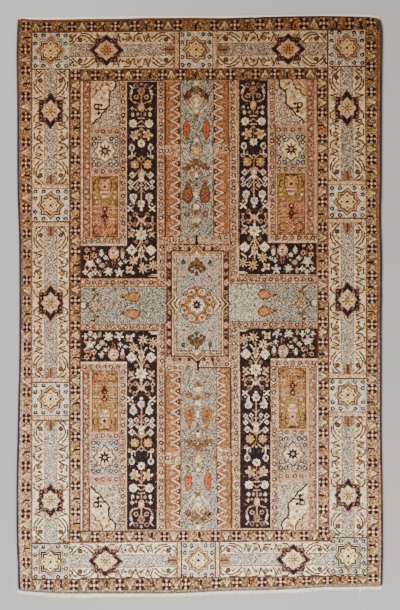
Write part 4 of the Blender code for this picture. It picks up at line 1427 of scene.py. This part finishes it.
def weavePile(material):
    strips = []
    cuts = np.linspace(0, columnCount, pile["strips"] + 1).round().astype(int)
    for k, (first, last) in enumerate(zip(cuts, cuts[1:])):
        part = slice(first, last + 1)
        points = ground[:, part].reshape(-1, 3)
        strip = meshOf(f"pile_strip_{k + 1}", points, gridFaces(rowCount, last - first), material)
        u = (columnOf[:, part] + 1 - first) / (last - first)
        v = 1 - (rowOf[:, part] + 1) / rowCount
        margin = pile["bakeMargin"]
        places = np.stack([u, v], -1).reshape(-1, 2) * (1 - 2 * margin) + margin
        mapUv(strip, "OFBake", places)
        mapUv(strip, "knots", np.stack([columnOf[:, part], rowOf[:, part]], -1).reshape(-1, 2))
        mark(strip, "yarn", knotYarn[:, first:last].ravel())
        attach(strip, "root")
        strips.append(strip)
    return strips


knotLook = dict(
    pairScale=0.54, batchScale=26.0, batchDetail=3.0, cloudScale=7.0, cloudDetail=4.0,
    tones=((0.62, 0.68), (0.65, 0.74), (0.88, 0.24), (0.9, 0.2)),  # least and range of each source
    fuzz=0.35, fuzzScale=900.0, bump=0.6,
)
# Painted shade: how much darker and browner each colour of the pile is painted, darkest at the head of the
# rug and at full colour at the foot.
paintedHeadShade = [  # share of the way from the head of the rug to its foot, and how much of each colour shows there
    (0.0, (0.37, 0.28, 0.20, 1)), (0.06, (0.44, 0.33, 0.25, 1)), (0.17, (0.56, 0.46, 0.36, 1)),
    (0.35, (0.63, 0.53, 0.44, 1)), (0.5, (0.70, 0.61, 0.53, 1)), (0.62, (0.83, 0.77, 0.71, 1)),
    (0.8, (0.95, 0.90, 0.85, 1)), (1.0, (1, 1, 1, 1)),
]


def pileFinish(name, bumpDepth):
    f = Finish(name)
    look = {**knotLook, "bumpDepth": bumpDepth}
    count = len(dyes)
    yarn = f.node("ShaderNodeAttribute", {"attribute_name": "yarn"}, output="Fac")
    stops = [(k / count, linear(*tint)) for k, tint in enumerate(dyes.values())]
    dyeRamp = {"between": "CONSTANT", "stops": stops}
    dye = f.node("ShaderNodeValToRGB", dyeRamp, {"Fac": (yarn + 0.5) / count})
    knots = f.node("ShaderNodeUVMap", {"uv_map": "knots"})
    knotId = f.node("ShaderNodeVectorMath", {"operation": "FLOOR"}, {0: knots})
    within = f.node("ShaderNodeVectorMath", {"operation": "FRACTION"}, {0: knots})
    across = (f.node("ShaderNodeSeparateXYZ", {}, {0: within}) * math.pi).sine()
    down = (f.node("ShaderNodeSeparateXYZ", {}, {0: within}, "Y") * math.pi).sine()
    place = f.node("ShaderNodeTexCoord", {}, output="Object")
    along = f.node("ShaderNodeSeparateXYZ", {}, {0: place}, "Y")
    # Each knot takes the dye a little differently, and each day's knotting shows as a faint band
    lot = f.node("ShaderNodeTexWhiteNoise", {"noise_dimensions": "2D"}, {"Vector": knotId}, "Value")
    coarser = f.node("ShaderNodeVectorMath", {"operation": "SCALE"}, {0: knots, "Scale": look["pairScale"]})
    pairId = f.node("ShaderNodeVectorMath", {"operation": "FLOOR"}, {0: coarser})
    pairLot = f.node("ShaderNodeTexWhiteNoise", {"noise_dimensions": "2D"}, {"Vector": pairId}, "Value")
    batch = f.node("ShaderNodeTexNoise", {"noise_dimensions": "1D"},
                   {"W": along * look["batchScale"], "Detail": look["batchDetail"]})
    cloud = f.noise(place, look["cloudScale"], look["cloudDetail"])
    sources = (lot, pairLot, batch, cloud)
    tone = math.prod(least + swing * source for (least, swing), source in zip(look["tones"], sources))
    grey = f.node("ShaderNodeCombineColor", {}, {0: tone, 1: tone, 2: tone})
    tint = f.mix(1.0, dye, grey, "MULTIPLY")
    low, high = cadBox
    # Painted shade: this ramp multiplies every yarn darker toward the head of the rug.
    wearAndPaintedShade = f.node("ShaderNodeValToRGB", {"stops": paintedHeadShade}, {"Fac": f.spread(along, high[1], low[1])})
    tint = f.mix(1.0, tint, wearAndPaintedShade, "MULTIPLY")
    height = across * down + look["fuzz"] * f.noise(place, look["fuzzScale"])
    return fibreSurface(f, tint, height, look)


woolPile = pileFinish("knotted wool pile", 0.0012)
strips = weavePile(woolPile)
print("pile woven,", len(strips), "strips")

# The back: the same design on the underside, where the knots' collars lie flat

back = dict(
    cell=1.95, inset=0.0012, rim=0.0016, bakeMargin=0.005,
    sides=0.6, ends=1.0,  # what lies farther than this from the middle is the edge, and is drawn in
)


def weaveBack(material):
    columns = round((rug["right"] - rug["left"]) / back["cell"])
    rows = round((rug["bottom"] - rug["top"]) / back["cell"])
    x, y = rowsOfPoints(columns, rows)
    x = x + back["inset"] * np.where(x < 0, 1, -1) * (abs(x) > back["sides"])
    y = y + back["inset"] * np.where(y < 0, 1, -1) * (abs(y) > back["ends"])
    flat = np.dstack([x, y, np.zeros_like(x)])
    points = np.pad(flat, ((1, 1), (1, 1), (0, 0)), "edge")
    for edge in (points[0], points[-1], points[:, 0], points[:, -1]):
        edge[:, 2] = back["rim"]
    faces = gridFaces(rows + 2, columns + 2)[:, ::-1]
    cloth = meshOf("rug_back", points.reshape(-1, 3), faces, material)
    across, down = np.meshgrid(np.arange(columns + 3.0) - 1, np.arange(rows + 3.0) - 1)
    share = np.stack([across / columns, 1 - down / rows], -1).reshape(-1, 2)
    margin = back["bakeMargin"]
    mapUv(cloth, "OFBake", np.clip(share, 0, 1) * (1 - 2 * margin) + margin)
    finer = back["cell"] / rug["knot"]
    mapUv(cloth, "knots", np.stack([across, down], -1).reshape(-1, 2) * finer)
    spots = [np.clip(((np.arange(n + 2) - 0.5) / n * m).astype(int), 0, m - 1)
             for n, m in ((rows, chart.rows), (columns, chart.columns))]
    mark(cloth, "yarn", chart.yarn[np.ix_(*spots)].ravel())
    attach(cloth, "root")
    return cloth


rugBack = weaveBack(pileFinish("wool seen from the back", 0.0006))
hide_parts("rug_pile")
print("back woven")


# The long edges: dark wool wound round a cord

overcast = dict(turns=0.0048, perTurn=3, around=8, groove=0.07, slant=1.0, end=0.004, evened=18,
                tapered=2.0, thinnest=0.35)


def windCord(name, node, material):
    outer = edgeOf(node, 1, -1 if "left" in name else 1)
    inner = edgeOf(node, 1, 1 if "left" in name else -1)
    low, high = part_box(node)
    half = (high[2] - low[2]) / 2
    length = high[1] - low[1]
    count = round(length / overcast["turns"]) * overcast["perTurn"]
    along = np.linspace(low[1] + overcast["end"], high[1] - overcast["end"], count)
    centre = (np.interp(along, *outer.T) + np.interp(along, *inner.T)) / 2
    even = overcast["evened"]
    centre = np.convolve(np.pad(centre, even, "edge"), np.ones(2 * even + 1) / (2 * even + 1), "valid")
    turn = np.arange(overcast["around"]) / overcast["around"] * math.tau
    slanting = overcast["slant"] * turn[None] / math.tau
    winding = np.arange(count)[:, None] / overcast["perTurn"] + slanting
    wound = 1 - overcast["groove"] * (0.5 - 0.5 * np.cos(winding * math.tau))
    fromEnd = np.minimum(np.arange(count), np.arange(count)[::-1])[:, None]
    taper = np.clip(fromEnd / overcast["tapered"], overcast["thinnest"], 1)
    points = np.dstack([
        centre[:, None] + half * wound * taper * np.cos(turn),
        np.broadcast_to(along[:, None], wound.shape),
        half * (wound * taper * np.sin(turn) + taper),
    ])
    points = np.concatenate([points, points[:, :1]], 1)
    tints = np.concatenate([winding, winding[:, :1] + overcast["slant"]], 1)
    faces = gridFaces(count - 1, overcast["around"])
    cord = meshOf(name, points.reshape(-1, 3), faces, material)
    mapUv(cord, "winding", np.stack([tints, np.zeros_like(tints)], -1).reshape(-1, 2))
    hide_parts(node)
    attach(cord, "root")
    return cord


windingLook = dict(
    strands=(260.0, 2.0), strandSpread=(0.3, 0.7), dark=(34, 28, 38), light=(66, 54, 60),
    patches=(9.0, 3.0), patchSpread=(0.5, 0.7, 0.0, 0.5), wearAndPaintedShade=(92, 74, 66),
    ridge=0.5, fuzz=0.4, fuzzScale=1100.0, bump=0.5, bumpDepth=0.001,
)


def bindingFinish():
    f = Finish("dark wool overcasting")
    look = windingLook
    wound = f.node("ShaderNodeSeparateXYZ", {}, {0: f.node("ShaderNodeUVMap", {"uv_map": "winding"})})
    place = f.node("ShaderNodeTexCoord", {}, output="Object")
    strands = f.spread(f.noise(place, *look["strands"]), *look["strandSpread"])
    patches = f.spread(f.noise(place, *look["patches"]), *look["patchSpread"])
    tint = f.mix(strands, linear(*look["dark"]), linear(*look["light"]))
    tint = f.mix(patches, tint, linear(*look["wearAndPaintedShade"]))
    fuzz = look["fuzz"] * f.noise(place, look["fuzzScale"])
    height = look["ridge"] * (wound * math.tau).sine() + fuzz
    return fibreSurface(f, tint, height, look)


darkWool = bindingFinish()
cords = [windCord("binding_left", "selvedge_left", darkWool),
         windCord("binding_right", "selvedge_right", darkWool)]
print("edges bound")


# The ends: a strip of cotton flat-weave, and what is left of the fringe

web = dict(thickness=0.0024, cellAcross=0.004, rows=4, overlap=0.0012, inset=0.004, droop=0.45)
cutEnd = dict(
    onFloor=0.0002,  # the node's points below this are its outline
    beyond=0.002, slot=0.012, level=25,  # the web's outer line: a low percentile of what is beyond the pile
    lockBeyond=0.0018, lockGap=0.0028,  # the locks: what lies beyond the web, split where there are gaps
)
strand = dict(
    sides=5, steps=6, thick=0.0009, tip=0.45,  # tip: how thick it still is there
    perLock=4, spread=0.0034, shift=0.0003, gather=0.4,  # side by side in a lock, and drawn together
    within=0.001, height=0.0009, rise=0.0006,  # rooted this far inside the web, and higher there
    lengths=(0.75, 1.12), longest=0.02, sway=0.0011, seed=5,
)
looseStrand = dict(steps=22, height=0.001)
# Long threads at the foot: root, length, first heading, whole turn, share of the way that it turns
looseEnds = [
    ((0.6085, -1.075), 0.034, -110.0, 26.0, 1.0),
    ((-0.6935, -1.078), 0.062, 155.0, -68.0, 0.16),
]


def endLine(top):
    return withoutCorners(edges["top" if top else "bottom"])


def endShape(node, top):
    # The web's outer line and the tips of the locks beyond it
    points = np.array([tuple(v.co) for v in nodes[node].data.vertices])
    points = np.unique(points[points[:, 2] < cutEnd["onFloor"]][:, :2].round(5), axis=0)
    side = 1 if top else -1
    reach = side * (points[:, 1] - np.interp(points[:, 0], *endLine(top).T))
    return points, reach


def endPlaces(node, top):
    points, reach = endShape(node, top)
    beyond = reach > cutEnd["beyond"]
    slots = np.round(points[beyond][:, 0] / cutEnd["slot"])
    line = []
    for slot in np.unique(slots):
        group = reach[beyond][slots == slot]
        line.append((slot * cutEnd["slot"], np.percentile(group, cutEnd["level"])))
    return np.array(line)


def weaveWeb(name, node, top, material):
    line = endPlaces(node, top)
    low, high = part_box(node)
    side = 1 if top else -1
    columns = round((high[0] - low[0]) / web["cellAcross"])
    rows = web["rows"]
    x = np.linspace(low[0] + web["inset"], high[0] - web["inset"], columns + 1)
    start = np.interp(x, *endLine(top).T) - side * web["overlap"]
    depth = np.interp(x, *line.T) + web["overlap"]
    share = np.linspace(0, 1, rows + 1)[:, None]
    y = start + side * depth * share
    z = web["thickness"] * (1 - web["droop"] * share ** 4) + 0 * x
    points = np.dstack([np.broadcast_to(x, y.shape), y, z])
    points = np.concatenate([points, points[-1:]], 0)
    points[-1, :, 2] = 0.0
    faces = gridFaces(rows + 1, columns)
    cloth = meshOf(name, points.reshape(-1, 3), faces if not top else faces[:, ::-1], material)
    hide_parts(node)
    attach(cloth, "root")
    return cloth


def threadOf(path):
    # A round thread along the path, thinner to its tip
    path = np.array(path)
    ahead = np.gradient(path, axis=0)
    flat = np.stack([-ahead[:, 1], ahead[:, 0], 0 * ahead[:, 0]], 1)
    flat /= np.linalg.norm(flat, axis=1)[:, None] + 1e-12
    up = np.array([0, 0, 1.0])
    sides = strand["sides"]
    corner = np.arange(sides)[None]
    turn = corner[:, :, None] / sides * math.tau
    radius = strand["thick"] * np.linspace(1, strand["tip"], len(path))[:, None, None]
    points = path[:, None] + radius * (flat[:, None] * np.cos(turn) + up * np.sin(turn))
    ring = np.arange(len(path) - 1)[:, None] * sides
    first, after = ring + corner, ring + (corner + 1) % sides
    faces = np.stack([first, after, after + sides, first + sides], -1).reshape(-1, 4)
    return points.reshape(-1, 3), faces


def tieFringe(name, node, top, material):
    points, reach = endShape(node, top)
    line = endPlaces(node, top)
    side = 1 if top else -1
    webReach = np.interp(points[:, 0], *line.T)
    tips = points[reach > webReach + cutEnd["lockBeyond"]]
    tips = tips[np.argsort(tips[:, 0])]
    locks = np.split(tips, np.where(np.diff(tips[:, 0]) > cutEnd["lockGap"])[0] + 1)
    draw = np.random.default_rng(strand["seed"])
    paths = []
    for lock in locks:
        x, y = lock.mean(0)
        pileEdge = np.interp(x, *endLine(top).T)
        root = pileEdge + side * (np.interp(x, *line.T) - strand["within"])
        long = abs(y - root)
        if long > strand["longest"]:
            continue
        for k in range(strand["perLock"]):
            offset = (k / (strand["perLock"] - 1) - 0.5) * strand["spread"] + draw.normal(0, strand["shift"])
            sway = draw.normal(0, strand["sway"])
            size = long * draw.uniform(*strand["lengths"])
            steps = np.linspace(0, 1, strand["steps"])
            paths.append([
                (x + offset * (1 - strand["gather"] * t) + sway * t * t, root + side * size * t,
                 strand["height"] + strand["rise"] * (1 - t)) for t in steps
            ])
    if not top:
        for (x, y), length, heading, whole, share in looseEnds:
            steps, height = looseStrand["steps"], looseStrand["height"]
            path = [(x, y, height)]
            for k in range(steps):
                way = math.radians(heading + whole * min(1.0, k / steps / share))
                x += length / steps * math.cos(way)
                y += length / steps * math.sin(way)
                path.append((x, y, height))
            paths.append(path)
    allPoints, allFaces, total = [], [], 0
    for path in paths:
        points, faces = threadOf(path)
        allPoints.append(points)
        allFaces.append(faces + total)
        total += len(points)
    fringe = meshOf(name, np.concatenate(allPoints), np.concatenate(allFaces), material)
    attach(fringe, "root")
    return fringe


# The gap colour is painted shade between the flat-weave's threads.
cottonLook = dict(
    stains=(14.0, 3.0), stainSpread=(0.35, 0.7), clean=(255, 244, 232), stained=(244, 224, 204),
    gapScale=520.0, gapSpread=(0.54, 0.72), gapShare=0.7, gap=(150, 122, 104),
    warp=0.0029, weft=0.0016, fuzz=0.4, fuzzScale=1200.0, bump=0.6, bumpDepth=0.0008, roughness=0.85,
)


def cottonFinish(name, ribs):
    f = Finish(name)
    look = cottonLook
    place = f.node("ShaderNodeTexCoord", {}, output="Object")
    spot = f.node("ShaderNodeSeparateXYZ", {}, {0: place})
    down = f.node("ShaderNodeSeparateXYZ", {}, {0: place}, "Y")
    stains = f.spread(f.noise(place, *look["stains"]), *look["stainSpread"])
    tint = f.mix(stains, linear(*look["clean"]), linear(*look["stained"]))
    # Painted shade: darker streaks between the threads, in the gap colour; none on the loose threads, where
    # ribs is 0.
    streak = f.noise(f.node("ShaderNodeCombineXYZ", {}, {0: spot * look["gapScale"]}), 1.0)
    gapShade = f.spread(streak, *look["gapSpread"], 0.0, look["gapShare"] * ribs)
    tint = f.mix(gapShade, tint, linear(*look["gap"]))
    warp, weft = (math.tau / look["warp"], math.tau / look["weft"])
    weave = (spot * warp).sine() * (down * weft).sine()
    height = ribs * weave + look["fuzz"] * f.noise(place, look["fuzzScale"])
    return fibreSurface(f, tint, height, look)


webCotton = cottonFinish("cotton flat-weave", 1.0)
threadCotton = cottonFinish("cotton thread", 0.0)
ends = [weaveWeb("web_top", "end_web_top", True, webCotton),
        weaveWeb("web_bottom", "end_web_bottom", False, webCotton),
        tieFringe("fringe_top", "end_web_top", True, threadCotton),
        tieFringe("fringe_bottom", "end_web_bottom", False, threadCotton)]
print("ends woven")

# Floor, light and camera

studio = dict(
    floorHalf=60.0, floorDrop=0.0002, floorTint=(168, 165, 160), grainTint=(154, 150, 144),
    grainShare=0.06, grainScale=60.0, grainDetail=4.0, floorRoughness=0.8,
    air=(1.0, 0.98, 0.96, 1), airStrength=0.66,
    height=6.0, frameTall=2.306, sensor=36.0, look=(0.00197, 0.00585),
)

floorFinish = Finish("pale floor")
floorPlace = floorFinish.node("ShaderNodeTexCoord", {}, output="Object")
grain = studio["grainShare"] * floorFinish.noise(floorPlace, studio["grainScale"], studio["grainDetail"])
floorTint = floorFinish.mix(grain, linear(*studio["floorTint"]), linear(*studio["grainTint"]))
floorMaterial = floorFinish.surface(**{"Base Color": floorTint, "Roughness": studio["floorRoughness"]})
half, level = studio["floorHalf"], -studio["floorDrop"]
floorCorners = [(-half, -half, level), (half, -half, level), (half, half, level), (-half, half, level)]
floor = meshOf("floor", floorCorners, [(0, 1, 2, 3)], floorMaterial)

world = bpy.data.worlds.new("studio air")
world.use_nodes = True
air = world.node_tree.nodes["Background"].inputs
air["Color"].default_value = studio["air"]
air["Strength"].default_value = studio["airStrength"]
scene.world = world
lamps = {  # name: place, aimed at, side of the lamp, watts, colour
    "window": ((-1.9, 1.5, 2.6), (0.0, 0.1, 0.0), 1.6, 122.0, (1.0, 0.97, 0.93)),
    "foot": ((0.2, -2.6, 1.9), (0.0, -0.9, 0.0), 1.8, 112.0, (1.0, 0.98, 0.97)),
}
for name, (place, aim, side, power, tint) in lamps.items():
    data = bpy.data.lights.new(name, "AREA")
    data.size, data.energy, data.color = side, power, tint
    lamp = bpy.data.objects.new(name, data)
    lamp.location = place
    lamp.rotation_euler = (Vector(aim) - Vector(place)).to_track_quat("-Z", "Y").to_euler()
    scene.collection.objects.link(lamp)

lens = bpy.data.cameras.new("camera")
lens.sensor_width = studio["sensor"]
lens.lens = studio["sensor"] * (studio["height"] - pile["thickness"]) / studio["frameTall"]
camera = bpy.data.objects.new("camera", lens)
camera.location = (*studio["look"], studio["height"])
scene.collection.objects.link(camera)
scene.camera = camera
print("stage set")
